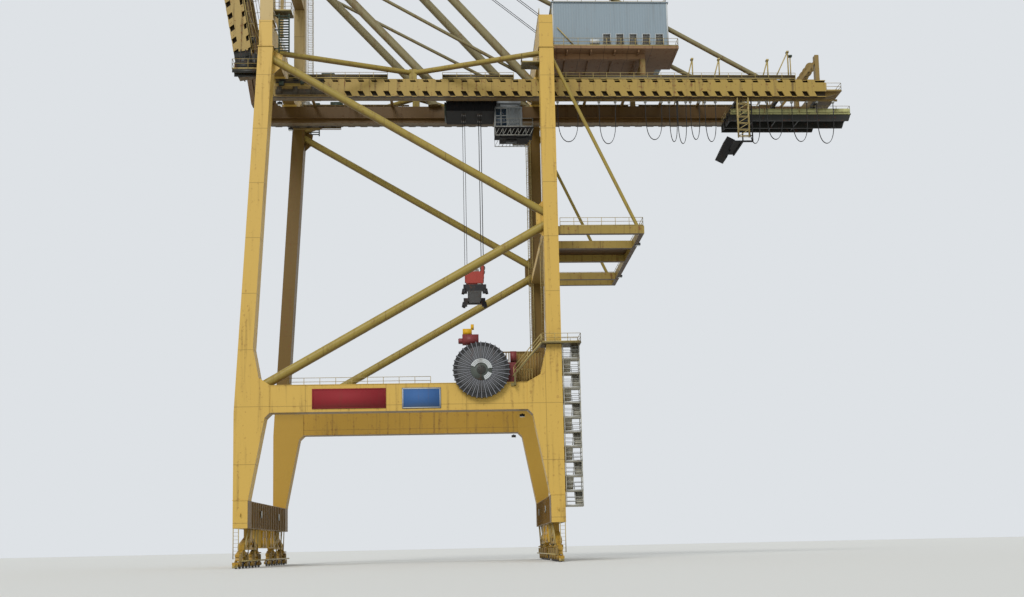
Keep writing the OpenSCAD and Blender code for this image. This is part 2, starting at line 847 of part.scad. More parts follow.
module machinery_house() {
    top = house_floor + house_height;
    color("lightgray")
        difference() {
            union() {
                block((house_x0 + house_x1) / 2, 0, house_floor, top, house_length, house_width);
                block((house_x0 + house_x1) / 2, 0, top, top + 8, house_length + 2 * roof_lip,
                    house_width + 2 * roof_lip);
            }
            for (s = [near, far])
                backstay_tubes(s, 8);
        }
}

// Cable reel stand on the portal beam
reel_y = -half_frame - portal_depth / 2 - lip / 2 - 14 - reel_width / 2;
reel_shaft_r = 20;
module reel_stand() {
    y_face = -half_frame - portal_depth / 2;
    color("indianred") {
        difference() {
            union() {
                block(reel_x, -half_frame, portal_top, reel_z + 70, 160, portal_depth);
                translate([reel_x, y_face + 1, reel_z])
                    rotate([90, 0, 0])
                        cylinder(h = 9, r = 50);
            }
            translate([reel_x, y_face + 60, reel_z])
                rotate([90, 0, 0])
                    cylinder(h = 400, r = reel_shaft_r + 0.05);
        }
        block(reel_x + 290, -half_frame, portal_top, portal_top + 200, 110, 90);
    }
}
module cable_reel() {
    color("slategray")
        translate([reel_x, reel_y, reel_z])
            rotate([90, 0, 0]) {
                cylinder(h = reel_width - 16, r = 60, center = true);
                for (i = [0 : reel_spokes - 1])
                    rotate([0, 0, i * 360 / reel_spokes])
                        translate([50, -4, -reel_width / 2])
                            cube([reel_radius - 54, 8, reel_width]);
                difference() {
                    cylinder(h = reel_width - 14, r = reel_radius - 12, center = true);
                    cylinder(h = reel_width, r = reel_radius - 62, center = true);
                }
                translate([0, 0, -reel_width / 2 - 60])
                    cylinder(h = 70, r = reel_shaft_r);
            }
}

// Cabinet on the near frame, between the reel and the landside leg
module portal_cabinet() {
    color("olive") {
        block(1255, -mid_inner + 75, portal_top + 40, portal_top + 330, 260, 150);
        block(1200, -mid_inner + 75, portal_top + 20, portal_top + 40, 420, 150);
    }
}

// Stair tower beside the near landside leg
stair_x0 = x_out + 10;
stair_x1 = stair_x0 + stair_width;
stair_half = 62;
flights = floor((leg_platform_z - sill_bottom - 60) / landing_rise);
module stair_tower() {
    low = leg_platform_z - flights * landing_rise;
    color("olive") {
        for (i = [1 : flights])
            block((stair_x0 + stair_x1) / 2, -half_frame, leg_platform_z - i * landing_rise - 5,
                leg_platform_z - i * landing_rise, stair_width, 2 * stair_half);
        for (i = [1 : flights], s = i % 2 == 0 ? -1 : 1)
            translate([stair_x0 + (i % 2) * (stair_width / 2 + 4), 0, 0])
                stair_flight(leg_platform_z - i * landing_rise, s);
        for (x = [stair_x0 + 4, stair_x1 - 4], s = [near, far])
            block(x, -half_frame + s * (stair_half - 4), low - 5, leg_platform_z, 8, 8);
        for (z = [low - 5, low + 5 * landing_rise - 5])
            translate([x_out, -half_frame - 10, z])
                cube([20, 20, 5]);
    }
}
module stair_flight(z, s) {
    run = stair_half - 16;
    translate([0, -half_frame, 0])
        yz_prism([[-s * run, z - 3], [-s * run, z + 3], [s * run, z + landing_rise - 3],
            [s * run, z + landing_rise - 9]], stair_width / 4 - 2, stair_width / 2 - 12);
}

// Platform round the near landside leg, with the flight that climbs to it from the portal beam
module leg_platform() {
    x0 = node_x - 55;
    x1 = stair_x1 + 10;
    y0 = half_frame + leg_depth / 2 + 62;
    color("olive") {
        difference() {
            translate([x0, -y0, leg_platform_z])
                cube([x1 - x0, y0 - half_frame + leg_depth / 2 + 20, 10]);
            leg(land, near);
        }
        xz_prism([[1105, portal_top + 40], [1105, portal_top + 54], [x0, leg_platform_z + 10],
            [x0, leg_platform_z - 8]], -half_frame - leg_depth / 2 - 34, 50);
        block(1128, -half_frame - leg_depth / 2 - 34, portal_top - 40, portal_top + 70, 16, 50);
        translate([1090, -half_frame - leg_depth / 2 - 9, portal_top - 40])
            cube([46, 15, 30]);
    }
}

// Boom, drawn level in front of its hinge and then turned up to its raised angle
module raise() {
    translate([hinge_x, 0, hinge_z])
        rotate([0, boom_angle, 0])
            children();
}
boom_top = -hinge_rise;
boom_low = boom_top - girder_height;
boom_lug_w = girder_width - 24;
module boom_girder(end) {
    y = end * girder_y;
    color("goldenrod")
        raise() {
            difference() {
                union() {
                    girder_section(-boom_length, -boom_root, boom_low, end);
                    translate([0, y, 0])
                        rotate([90, 0, 0])
                            cylinder(h = boom_lug_w, r = hinge_eye_r, center = true);
                    xz_prism([[-170, boom_top - 5], [-boom_root - 1, boom_top - 5],
                        [-boom_root - 1, boom_top + 2], [-14, -hinge_eye_r + 4], [0, 0],
                        [-14, hinge_eye_r - 4], [-60, hinge_eye_r - 14]], y, boom_lug_w);
                    xz_prism([[-stay_lug_distance - 50, boom_top], [-stay_lug_distance - 18, lug_drop],
                        [-stay_lug_distance + 18, lug_drop], [-stay_lug_distance + 50, boom_top]],
                        end * (girder_out - 10), 20);
                    pin_y([-stay_lug_distance, 0, lug_drop], end * (girder_out - 20),
                        end * (stay_y - fit), 18);
                }
                translate([0, y, 0])
                    rotate([90, 0, 0])
                        cylinder(h = 2 * girder_width, r = hinge_pin_r + 0.05, center = true);
            }
        }
}
module boom_near() boom_girder(near);
module boom_far() boom_girder(far);
module boom_ties() {
    color("darkgoldenrod")
        raise() {
            for (x = [-350 : -tie_pitch : -boom_length + 100])
                translate([x - 15, -(girder_gap + box_width) / 2, boom_top])
                    cube([30, girder_gap + box_width, tie_h]);
            translate([-boom_length, -girder_in, boom_low + 60])
                cube([60, girder_gap, 110]);
        }
}

// Forestays, folded while the boom is up
apex_pin = [tower_x - 100, 0, apex_z];
lug_drop = boom_top + 60;
lug = [
    hinge_x - stay_lug_distance * cos(boom_angle) + lug_drop * sin(boom_angle), 0,
    hinge_z + stay_lug_distance * sin(boom_angle) + lug_drop * cos(boom_angle)
];
lug_level = [hinge_x - stay_lug_distance, 0, hinge_z + lug_drop];
stay_total = norm(lug_level - apex_pin);
upper_len = stay_total * 0.4472;
lower_len = stay_total - upper_len;
fold_d = norm(lug - apex_pin);
fold_e = (lug - apex_pin) / fold_d;
fold_n = [-fold_e[2], 0, fold_e[0]];
fold_a = (pow(upper_len, 2) - pow(lower_len, 2) + pow(fold_d, 2)) / (2 * fold_d);
fold_h = sqrt(pow(upper_len, 2) - pow(fold_a, 2));
knee = apex_pin + fold_a * fold_e + fold_h * fold_n;
stay_y = girder_out + 28;
stay_pin_r = 12;
eye_lip = 3;
upper_y = stay_y + stay_bar_t + 4;
module pin_y(p, y0, y1, r) {
    translate([p[0], max(y0, y1), p[2]])
        rotate([90, 0, 0])
            cylinder(h = abs(y1 - y0), r = r);
}
module eye_bar(a, b, y0, y1) {
    translate([0, (y0 + y1) / 2, 0])
        flat_bar(a, b, stay_bar, stay_bar_t - 2 * eye_lip);
    pin_y(a, y0, y1, stay_bar / 2 + 8);
    pin_y(b, y0, y1, stay_bar / 2 + 8);
}
module forestay_upper() {
    color("goldenrod")
        for (s = [near, far]) {
            difference() {
                eye_bar(apex_pin, knee, s * upper_y, s * (upper_y + stay_bar_t));
                pin_y(apex_pin, s * (upper_y - 10), s * (upper_y + stay_bar_t + 10),
                    stay_pin_r + 0.05);
            }
            pin_y(knee, s * (stay_y - 2), s * (upper_y + 10), stay_pin_r);
            pin_y(knee, s * (stay_y - 6), s * (stay_y - 2), stay_pin_r + 6);
        }
}
module forestay_lower() {
    color("goldenrod")
        for (s = [near, far])
            difference() {
                eye_bar(knee, lug, s * stay_y, s * (stay_y + stay_bar_t));
                pin_y(knee, s * (stay_y - 10), s * (stay_y + stay_bar_t + 10),
                    stay_pin_r + 0.05);
            }
}

// Trolley between the girders
rail_top = ledge_z + 12;
trolley_wheel_r = 24;
trolley_half = 245;
trolley_low = girder_bottom - 68;
module trolley() {
    low = rail_top + 16;
    color("darkslategray") {
        for (s = [near, far])
            block(trolley_x, s * (trolley_half - 35), low, girder_top - 60, trolley_length, 70);
        for (dx = [-1, 0, 1])
            block(trolley_x + dx * (trolley_length / 2 - 35), 0, low, girder_top - 60, 70,
                2 * trolley_half - 100);
        block(trolley_x, 0, girder_top - 70, girder_top - 24, trolley_length - 120, 260);
        block(trolley_x - 17, 0, trolley_low, low + 1, trolley_length - 35, 340);
        for (dx = [-200, 200], s = [near, far])
            translate([trolley_x + dx, s * trolley_half, rail_top + trolley_wheel_r + fit])
                rotate([-90 * s, 0, 0]) {
                    cylinder(h = 16, r = trolley_wheel_r);
                    translate([0, 0, -6])
                        cylinder(h = 4, r = trolley_wheel_r + 4);
                    translate([0, 0, -7])
                        cylinder(h = 8, r = trolley_wheel_r - 4);
                }
    }
}

// Operator cab with its sloping front window, hung under the landside end of the trolley
cab_x0 = trolley_x + trolley_length / 2 - 20;
cab_len = 300;
cab_height = 255;
cab_floor = girder_bottom - 243;
cab_top = cab_floor + cab_height;
module operator_cab() {
    color("gray") {
        xz_prism([[cab_x0 + 26, cab_floor], [cab_x0, cab_floor + 80], [cab_x0, cab_top],
            [cab_x0 + cab_len, cab_top], [cab_x0 + cab_len, cab_floor]], 0, cab_width);
        block(cab_x0 + 160, 0, cab_top - 1, rail_top + 20, 200, 110);
        translate([cab_x0 + 20, -70, rail_top + 18])
            cube([cab_len - 30, 140, 30]);
    }
}
module cab_platform() {
    x0 = cab_x0 - 5;
    x1 = cab_x0 + cab_len + 120;
    color("darkslategray") {
        translate([x0, -cab_width / 2 - 50, cab_floor - 15])
            cube([x1 - x0, cab_width + 100, 15]);
        block((x0 + x1) / 2, 0, cab_floor - 95, cab_floor - 14, 320, cab_width - 60);
    }
}

// Hoist ropes, headblock and spreader
spreader_top = spreader_bottom + 360;
frame_top = spreader_bottom + 100;
module rope_places() {
    for (dx = [-90, 90], dy = [-80, 80])
        translate([trolley_x + dx, dy, 0])
            children();
}
module hoist_ropes() {
    color("black")
        rope_places()
            translate([0, 0, spreader_top])
                cylinder(h = trolley_low - spreader_top, d = rope_diameter);
}
module headblock() {
    color("firebrick") {
        block(trolley_x, 0, frame_top, frame_top + 62, 130, 200);
        block(trolley_x, 0, frame_top + 61, frame_top + 190, 186, 220);
        for (dx = [-90, 90], dy = [-80, 80])
            block(trolley_x + dx, dy, frame_top + 120, spreader_top, 30, 50);
    }
}
module spreader() {
    end_y = spreader_length / 2 - 20;
    color("dimgray") {
        block(trolley_x, 0, frame_top - 70, frame_top, 120, 2 * end_y);
        for (dx = [-62, 62])
            block(trolley_x + dx, 0, frame_top - 56, frame_top - 12, 26, 2 * end_y);
        for (s = [near, far]) {
            block(trolley_x, s * end_y, frame_top - 76, frame_top - 8, 244, 40);
            for (dx = [-102, 102])
                block(trolley_x + dx, s * end_y, spreader_bottom, frame_top - 75, 40, 40);
        }
    }
}

sill_beam_waterside();
sill_beam_landside();
bogies_waterside_near();
bogies_waterside_far();
bogies_landside_near();
bogies_landside_far();
wheels_waterside();
wheels_landside();
waterside_leg_near();
waterside_leg_far();
landside_leg_near();
landside_leg_far();
portal_beam_near();
portal_beam_far();
diagonals_near();
diagonals_far();
waterside_cross_beam();
landside_cross_beam();
landside_mid_beam();
outrigger_frame();
outrigger_ties();
girder_near();
girder_far();
girder_ties();
girder_walkways();
girder_end_frame();
end_platform();
service_box();
plan_braces();
tower_leg_near();
tower_leg_far();
tower_beam();
tower_top_near();
tower_top_far();
apex_beam();
back_legs();
tower_stays();
backstays();
house_deck();
house_support();
machinery_house();
reel_stand();
portal_cabinet();
stair_tower();
leg_platform();
boom_near();
boom_far();
boom_ties();
forestay_upper();
forestay_lower();
trolley();
operator_cab();
cab_platform();
hoist_ropes();
headblock();
spreader();
cable_reel();
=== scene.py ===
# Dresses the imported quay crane: paint, walkways, railings, stairs, cab, ropes and machinery.
# Lengths are metres of the 1:10 model. +X is landside, +Y goes along the quay away from the camera.
import math
import bpy
import numpy as np
from mathutils import Matrix


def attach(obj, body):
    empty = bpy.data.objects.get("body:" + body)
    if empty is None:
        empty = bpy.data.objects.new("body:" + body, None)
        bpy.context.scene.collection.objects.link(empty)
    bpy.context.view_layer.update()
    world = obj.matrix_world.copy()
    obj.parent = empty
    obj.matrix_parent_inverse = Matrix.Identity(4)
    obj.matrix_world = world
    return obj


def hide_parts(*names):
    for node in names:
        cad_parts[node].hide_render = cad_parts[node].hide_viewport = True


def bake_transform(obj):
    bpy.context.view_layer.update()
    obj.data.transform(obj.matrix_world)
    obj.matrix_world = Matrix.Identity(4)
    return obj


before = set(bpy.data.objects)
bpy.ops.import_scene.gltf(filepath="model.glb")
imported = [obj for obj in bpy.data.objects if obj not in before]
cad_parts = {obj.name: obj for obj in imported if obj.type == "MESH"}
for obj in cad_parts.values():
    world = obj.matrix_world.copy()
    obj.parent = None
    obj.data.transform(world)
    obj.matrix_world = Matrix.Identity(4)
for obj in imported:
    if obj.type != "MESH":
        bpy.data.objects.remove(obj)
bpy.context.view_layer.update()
scene = bpy.context.scene
print("crane loaded:", len(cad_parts), "nodes")

cameraSetup = {
    "place": (0.644768, -10.40578, 0.154275),
    "pitch": 0.10301,
    "yaw": 0.04705,
    "roll": 0.02124,
    "lens": 34.07,
    "shiftY": 0.1444,
}


def aimCamera(setup):
    # Forward is the quay direction turned by yaw and lifted by pitch; right and up are then rolled.
    sinYaw, cosYaw = math.sin(setup["yaw"]), math.cos(setup["yaw"])
    sinPitch, cosPitch = math.sin(setup["pitch"]), math.cos(setup["pitch"])
    level = np.array([sinYaw, cosYaw, 0.0])
    upward = np.array([0.0, 0.0, 1.0])
    right = np.array([cosYaw, -sinYaw, 0.0])
    forward = cosPitch * level + sinPitch * upward
    above = -sinPitch * level + cosPitch * upward
    sinRoll, cosRoll = math.sin(setup["roll"]), math.cos(setup["roll"])
    rolledRight = cosRoll * right - sinRoll * above
    rolledUp = sinRoll * right + cosRoll * above
    data = bpy.data.cameras.new("photoCamera")
    data.lens = setup["lens"]
    data.sensor_width = 36
    data.shift_y = setup["shiftY"]
    data.clip_start = 0.05
    data.clip_end = 400
    camera = bpy.data.objects.new("photoCamera", data)
    turn = np.stack([rolledRight, rolledUp, -forward], axis=1)
    camera.matrix_world = Matrix.Translation(setup["place"]) @ Matrix(turn.tolist()).to_4x4()
    scene.collection.objects.link(camera)
    scene.camera = camera


aimCamera(cameraSetup)


def tone(red, green, blue):
    # Screen values from 0 to 255 become linear light.
    value = np.array([red, green, blue]) / 255
    linear = np.where(value <= 0.04045, value / 12.92, ((value + 0.055) / 1.055) ** 2.4)
    return (*linear.tolist(), 1.0)


studio = {
    "floorTone": tone(214, 214, 210),
    "skyTone": tone(222, 226, 230),
    "skyLight": 0.62,
    "sunStrength": 1.75,
    "sunTurn": (math.radians(50), 0.0, math.radians(-24)),
    "sunAngle": math.radians(25),
    "floorHalf": 160.0,
}


def buildStudio(setup):
    world = bpy.data.worlds.new("studioWorld")
    scene.world = world
    world.use_nodes = True
    tree = world.node_tree
    tree.nodes.clear()
    seen = tree.nodes.new("ShaderNodeBackground")
    seen.inputs["Color"].default_value = setup["skyTone"]
    lit = tree.nodes.new("ShaderNodeBackground")
    lit.inputs["Color"].default_value = (0.93, 0.97, 1.0, 1.0)
    lit.inputs["Strength"].default_value = setup["skyLight"]
    path = tree.nodes.new("ShaderNodeLightPath")
    either = tree.nodes.new("ShaderNodeMath")
    either.operation = "MAXIMUM"
    third = tree.nodes.new("ShaderNodeMath")
    third.operation = "MAXIMUM"
    tree.links.new(path.outputs["Is Camera Ray"], either.inputs[0])
    tree.links.new(path.outputs["Is Glossy Ray"], either.inputs[1])
    tree.links.new(either.outputs[0], third.inputs[0])
    tree.links.new(path.outputs["Is Transmission Ray"], third.inputs[1])
    mix = tree.nodes.new("ShaderNodeMixShader")
    tree.links.new(third.outputs[0], mix.inputs[0])
    tree.links.new(lit.outputs[0], mix.inputs[1])
    tree.links.new(seen.outputs[0], mix.inputs[2])
    output = tree.nodes.new("ShaderNodeOutputWorld")
    tree.links.new(mix.outputs[0], output.inputs["Surface"])
    lamp = bpy.data.lights.new("softSun", "SUN")
    lamp.energy = setup["sunStrength"]
    lamp.angle = setup["sunAngle"]
    lamp.color = (1.0, 0.98, 0.95)
    sun = bpy.data.objects.new("softSun", lamp)
    sun.rotation_euler = setup["sunTurn"]
    scene.collection.objects.link(sun)
    half = setup["floorHalf"]
    mesh = bpy.data.meshes.new("floor")
    mesh.from_pydata([(-half, -half, 0), (half, -half, 0), (half, half, 0), (-half, half, 0)], [],
                     [(0, 1, 2, 3)])
    material = bpy.data.materials.new("floorPaint")
    material.use_nodes = True
    shader = material.node_tree.nodes["Principled BSDF"]
    shader.inputs["Base Color"].default_value = setup["floorTone"]
    shader.inputs["Roughness"].default_value = 0.85
    mesh.materials.append(material)
    floor = bpy.data.objects.new("floor", mesh)
    scene.collection.objects.link(floor)
    scene.view_settings.view_transform = "Standard"


buildStudio(studio)
print("camera, light and floor ready")


# Shader helpers
def calc(tree, operation, first, second=None, third=None, clamp=False):
    node = tree.nodes.new("ShaderNodeMath")
    node.operation = operation
    node.use_clamp = clamp
    for place, value in enumerate((first, second, third)):
        if value is None:
            continue
        if isinstance(value, (int, float)):
            node.inputs[place].default_value = value
        else:
            tree.links.new(value, node.inputs[place])
    return node.outputs[0]


def stepUp(tree, value, low, high):
    node = tree.nodes.new("ShaderNodeMapRange")
    node.interpolation_type = "SMOOTHSTEP"
    tree.links.new(value, node.inputs["Value"])
    node.inputs["From Min"].default_value = low
    node.inputs["From Max"].default_value = high
    return node.outputs["Result"]


def blendTone(tree, share, under, over, kind="MIX"):
    node = tree.nodes.new("ShaderNodeMix")
    node.data_type = "RGBA"
    node.blend_type = kind
    for place, value in ((0, share), (6, under), (7, over)):
        if isinstance(value, (int, float, tuple)):
            node.inputs[place].default_value = value
        else:
            tree.links.new(value, node.inputs[place])
    return node.outputs[2]


def cloudNoise(tree, vector, scale, detail=4.0, rough=0.55):
    node = tree.nodes.new("ShaderNodeTexNoise")
    node.inputs["Scale"].default_value = scale
    node.inputs["Detail"].default_value = detail
    node.inputs["Roughness"].default_value = rough
    tree.links.new(vector, node.inputs["Vector"])
    return node.outputs["Fac"]


def stretched(tree, vector, scale):
    node = tree.nodes.new("ShaderNodeMapping")
    node.inputs["Scale"].default_value = scale
    tree.links.new(vector, node.inputs["Vector"])
    return node.outputs["Vector"]


def splitVector(tree, vector):
    node = tree.nodes.new("ShaderNodeSeparateXYZ")
    tree.links.new(vector, node.inputs[0])
    return node.outputs


def startGroup(name, inputs, outputs):
    tree = bpy.data.node_groups.new(name, "ShaderNodeTree")
    for label, value in inputs.items():
        kind = "NodeSocketColor" if isinstance(value, tuple) else "NodeSocketFloat"
        socket = tree.interface.new_socket(label, in_out="INPUT", socket_type=kind)
        socket.default_value = value
    for label in outputs:
        kind = "NodeSocketColor" if label == "Color" else "NodeSocketFloat"
        tree.interface.new_socket(label, in_out="OUTPUT", socket_type=kind)
    source = tree.nodes.new("NodeGroupInput")
    drain = tree.nodes.new("NodeGroupOutput")
    return tree, source, drain


def buildWeatherGroup():
    # Paint with cloudy fading, rain streaks, painted shade on undersides in the grime tone, and small rust
    # spots.
    tree, source, drain = startGroup(
        "saltWeather",
        {"Paint": tone(200, 165, 85), "Grime And Shade": tone(96, 78, 48), "Rust": tone(112, 60, 30),
         "Streaks": 0.5, "Underside": 0.8, "Spots": 0.5, "Fade": 0.5},
        ["Color", "Roughness", "Height"])
    coords = tree.nodes.new("ShaderNodeTexCoord")
    place = coords.outputs["Object"]
    streak = cloudNoise(tree, stretched(tree, place, (12.0, 12.0, 0.7)), 1.7, 5.0, 0.62)
    cloud = cloudNoise(tree, place, 1.1, 4.0, 0.5)
    speck = cloudNoise(tree, place, 34.0, 6.0, 0.6)
    run = calc(tree, "MULTIPLY", stepUp(tree, streak, 0.5, 0.74), source.outputs["Streaks"])
    # Painted shade: faces that turn downwards are blended towards the grime tone by the underside share.
    facing = splitVector(tree, coords.outputs["Normal"])[2]
    down = stepUp(tree, calc(tree, "MULTIPLY", facing, -1.0), 0.3, 0.9)
    shade = calc(tree, "MULTIPLY", down, source.outputs["Underside"])
    mixed = calc(tree, "ADD", calc(tree, "MULTIPLY", speck, 0.62),
                 calc(tree, "MULTIPLY", streak, 0.38))
    spot = calc(tree, "MULTIPLY", stepUp(tree, mixed, 0.565, 0.61), source.outputs["Spots"])
    fade = calc(tree, "MULTIPLY", stepUp(tree, cloud, 0.35, 0.65), source.outputs["Fade"])
    worn = blendTone(tree, fade, source.outputs["Paint"], (0.5, 0.5, 0.5, 1.0), "OVERLAY")
    streaked = blendTone(tree, run, worn, source.outputs["Grime And Shade"])
    shaded = blendTone(tree, shade, streaked, source.outputs["Grime And Shade"])
    rusted = blendTone(tree, spot, shaded, source.outputs["Rust"])
    tree.links.new(rusted, drain.inputs["Color"])
    rough = calc(tree, "ADD", calc(tree, "MULTIPLY", run, 0.25),
                 calc(tree, "MULTIPLY_ADD", spot, 0.3, 0.44), clamp=True)
    tree.links.new(rough, drain.inputs["Roughness"])
    height = calc(tree, "MULTIPLY_ADD", spot, 0.6, calc(tree, "MULTIPLY", speck, 0.4))
    tree.links.new(height, drain.inputs["Height"])
    return tree


def buildSeamGroup():
    # Thin lines where plates are welded, one each pitch along X and along Z.
    tree, source, drain = startGroup(
        "plateSeams", {"Pitch X": 0.8, "Pitch Z": 0.55, "Width": 0.005, "Start": 0.13},
        ["Mask", "Height"])
    coords = tree.nodes.new("ShaderNodeTexCoord")
    place = splitVector(tree, coords.outputs["Object"])
    lines = []
    for axis, label in ((0, "Pitch X"), (2, "Pitch Z")):
        moved = calc(tree, "ADD", place[axis], source.outputs["Start"])
        ratio = calc(tree, "DIVIDE", moved, source.outputs[label])
        gap = calc(tree, "ABSOLUTE", calc(tree, "SUBTRACT", calc(tree, "FRACT", ratio), 0.5))
        reach = calc(tree, "MULTIPLY", calc(tree, "SUBTRACT", 0.5, gap), source.outputs[label])
        lines.append(calc(tree, "LESS_THAN", reach, source.outputs["Width"]))
    both = calc(tree, "MAXIMUM", lines[0], lines[1])
    tree.links.new(both, drain.inputs["Mask"])
    tree.links.new(calc(tree, "MULTIPLY", both, 0.8), drain.inputs["Height"])
    return tree


def buildGratingGroup():
    # Open bar grating: narrow dark slots between bearing bars, with cross rods.
    tree, source, drain = startGroup(
        "barGrating", {"Slot Pitch": 0.012, "Rod Pitch": 0.036}, ["Mask", "Height"])
    coords = tree.nodes.new("ShaderNodeTexCoord")
    place = splitVector(tree, coords.outputs["Object"])
    waves = []
    for axis, label in ((0, "Slot Pitch"), (1, "Rod Pitch")):
        ratio = calc(tree, "DIVIDE", place[axis], source.outputs[label])
        waves.append(calc(tree, "LESS_THAN", calc(tree, "FRACT", ratio), 0.62))
    hole = calc(tree, "MULTIPLY", waves[0], waves[1])
    tree.links.new(hole, drain.inputs["Mask"])
    tree.links.new(calc(tree, "SUBTRACT", 1.0, hole), drain.inputs["Height"])
    return tree


def buildCladdingGroup():
    # Ribbed wall sheets: upright ribs, and a joint at each sheet edge.
    tree, source, drain = startGroup(
        "claddingRibs", {"Rib Pitch": 0.028, "Sheet Pitch": 0.21}, ["Mask", "Height"])
    coords = tree.nodes.new("ShaderNodeTexCoord")
    place = splitVector(tree, coords.outputs["Object"])
    along = calc(tree, "ADD", place[0], place[1])
    ratio = calc(tree, "DIVIDE", along, source.outputs["Rib Pitch"])
    wave = calc(tree, "ABSOLUTE", calc(tree, "SUBTRACT", calc(tree, "FRACT", ratio), 0.5))
    rib = stepUp(tree, wave, 0.16, 0.3)
    joint = calc(tree, "FRACT", calc(tree, "DIVIDE", along, source.outputs["Sheet Pitch"]))
    line = calc(tree, "LESS_THAN", joint, 0.03)
    tree.links.new(line, drain.inputs["Mask"])
    tree.links.new(calc(tree, "SUBTRACT", rib, line), drain.inputs["Height"])
    return tree


def buildRopeGroup():
    # Strands that wind round a rope: slanted stripes from height and side.
    tree, source, drain = startGroup("ropeLay", {"Lay": 0.02}, ["Mask", "Height"])
    coords = tree.nodes.new("ShaderNodeTexCoord")
    place = splitVector(tree, coords.outputs["Object"])
    across = calc(tree, "ADD", place[0], place[1])
    turn = calc(tree, "DIVIDE", calc(tree, "MULTIPLY_ADD", across, 2.0, place[2]),
                source.outputs["Lay"])
    wave = calc(tree, "ABSOLUTE", calc(tree, "SUBTRACT", calc(tree, "FRACT", turn), 0.5))
    tree.links.new(calc(tree, "LESS_THAN", wave, 0.12), drain.inputs["Mask"])
    tree.links.new(wave, drain.inputs["Height"])
    return tree


weatherGroup = buildWeatherGroup()
seamGroup = buildSeamGroup()
gratingGroup = buildGratingGroup()
claddingGroup = buildCladdingGroup()
ropeGroup = buildRopeGroup()


def useGroup(tree, group, values):
    node = tree.nodes.new("ShaderNodeGroup")
    node.node_tree = group
    for label, value in values.items():
        node.inputs[label].default_value = value
    return node


def coatMaterial(name, coat, extra=None, extraValues=None, extraTone=None, extraShare=0.6,
                 metallic=0.0, bump=0.35, recess=None, roughLift=0.0, lower=None):
    material = bpy.data.materials.new(name)
    material.use_nodes = True
    tree = material.node_tree
    shader = tree.nodes["Principled BSDF"]
    base = useGroup(tree, weatherGroup, coat)
    colour, height = base.outputs["Color"], base.outputs["Height"]
    if extra is not None:
        pattern = useGroup(tree, extra, extraValues or {})
        share = calc(tree, "MULTIPLY", pattern.outputs["Mask"], extraShare)
        colour = blendTone(tree, share, colour, extraTone or tone(60, 46, 26))
        height = calc(tree, "ADD", height, pattern.outputs["Height"])
    if recess is not None:
        # Painted shade: a darker tone between two distances from the middle plane, across the given axis.
        coords = tree.nodes.new("ShaderNodeTexCoord")
        place = splitVector(tree, coords.outputs["Object"])
        for axis, low, high, dark, share in recess:
            out = calc(tree, "ABSOLUTE", place[axis])
            inside = calc(tree, "MULTIPLY", calc(tree, "GREATER_THAN", out, low),
                          calc(tree, "LESS_THAN", out, high))
            colour = blendTone(tree, calc(tree, "MULTIPLY", inside, share), colour, dark)
    if lower is not None:
        # Another tone below a height, with a soft change up to the next height; on the far legs it gives
        # lighter paint below their painted shade.
        coords = tree.nodes.new("ShaderNodeTexCoord")
        rise = splitVector(tree, coords.outputs["Object"])[2]
        share = calc(tree, "MULTIPLY_ADD", stepUp(tree, rise, lower[0], lower[1]), -0.9, 0.9)
        colour = blendTone(tree, share, colour, lower[2])
    tree.links.new(colour, shader.inputs["Base Color"])
    rough = calc(tree, "ADD", base.outputs["Roughness"], roughLift, clamp=True)
    tree.links.new(rough, shader.inputs["Roughness"])
    shader.inputs["Metallic"].default_value = metallic
    shader.inputs["Specular IOR Level"].default_value = 0.28
    relief = tree.nodes.new("ShaderNodeBump")
    relief.inputs["Strength"].default_value = bump
    relief.inputs["Distance"].default_value = 0.004
    tree.links.new(height, relief.inputs["Height"])
    tree.links.new(relief.outputs["Normal"], shader.inputs["Normal"])
    return material


# The yellow of the crane as the weather group takes it, and the same with more dirt; the grime tone also
# serves as painted shade on undersides
yellowCoat = {"Paint": tone(199, 164, 80), "Grime And Shade": tone(104, 82, 46), "Rust": tone(112, 62, 34),
              "Streaks": 0.42, "Underside": 0.85, "Spots": 0.3, "Fade": 0.35}
dirtyCoat = dict(yellowCoat, Streaks=0.75, Spots=0.6)


def paintFinish(name, paint, grimeAndShade=None, base=None, rust=None, **settings):
    # A coat from screen tones and the weather group's shares; the other settings are coatMaterial's.
    coat = dict(base or {})
    for label, value in (("Paint", paint), ("Grime And Shade", grimeAndShade), ("Rust", rust)):
        if value is not None:
            coat[label] = tone(*value)
    for share in ("streaks", "underside", "spots", "fade"):
        if share in settings:
            coat[share.capitalize()] = settings.pop(share)
    return coatMaterial(name, coat, **settings)


def pattern(group, dark, share, values=None):
    return {"extra": group, "extraValues": values, "extraTone": tone(*dark), "extraShare": share}


def seamsAt(pitchX, pitchZ, share, dark=(96, 74, 36)):
    return pattern(seamGroup, dark, share, {"Pitch X": pitchX, "Pitch Z": pitchZ, "Width": 0.003})


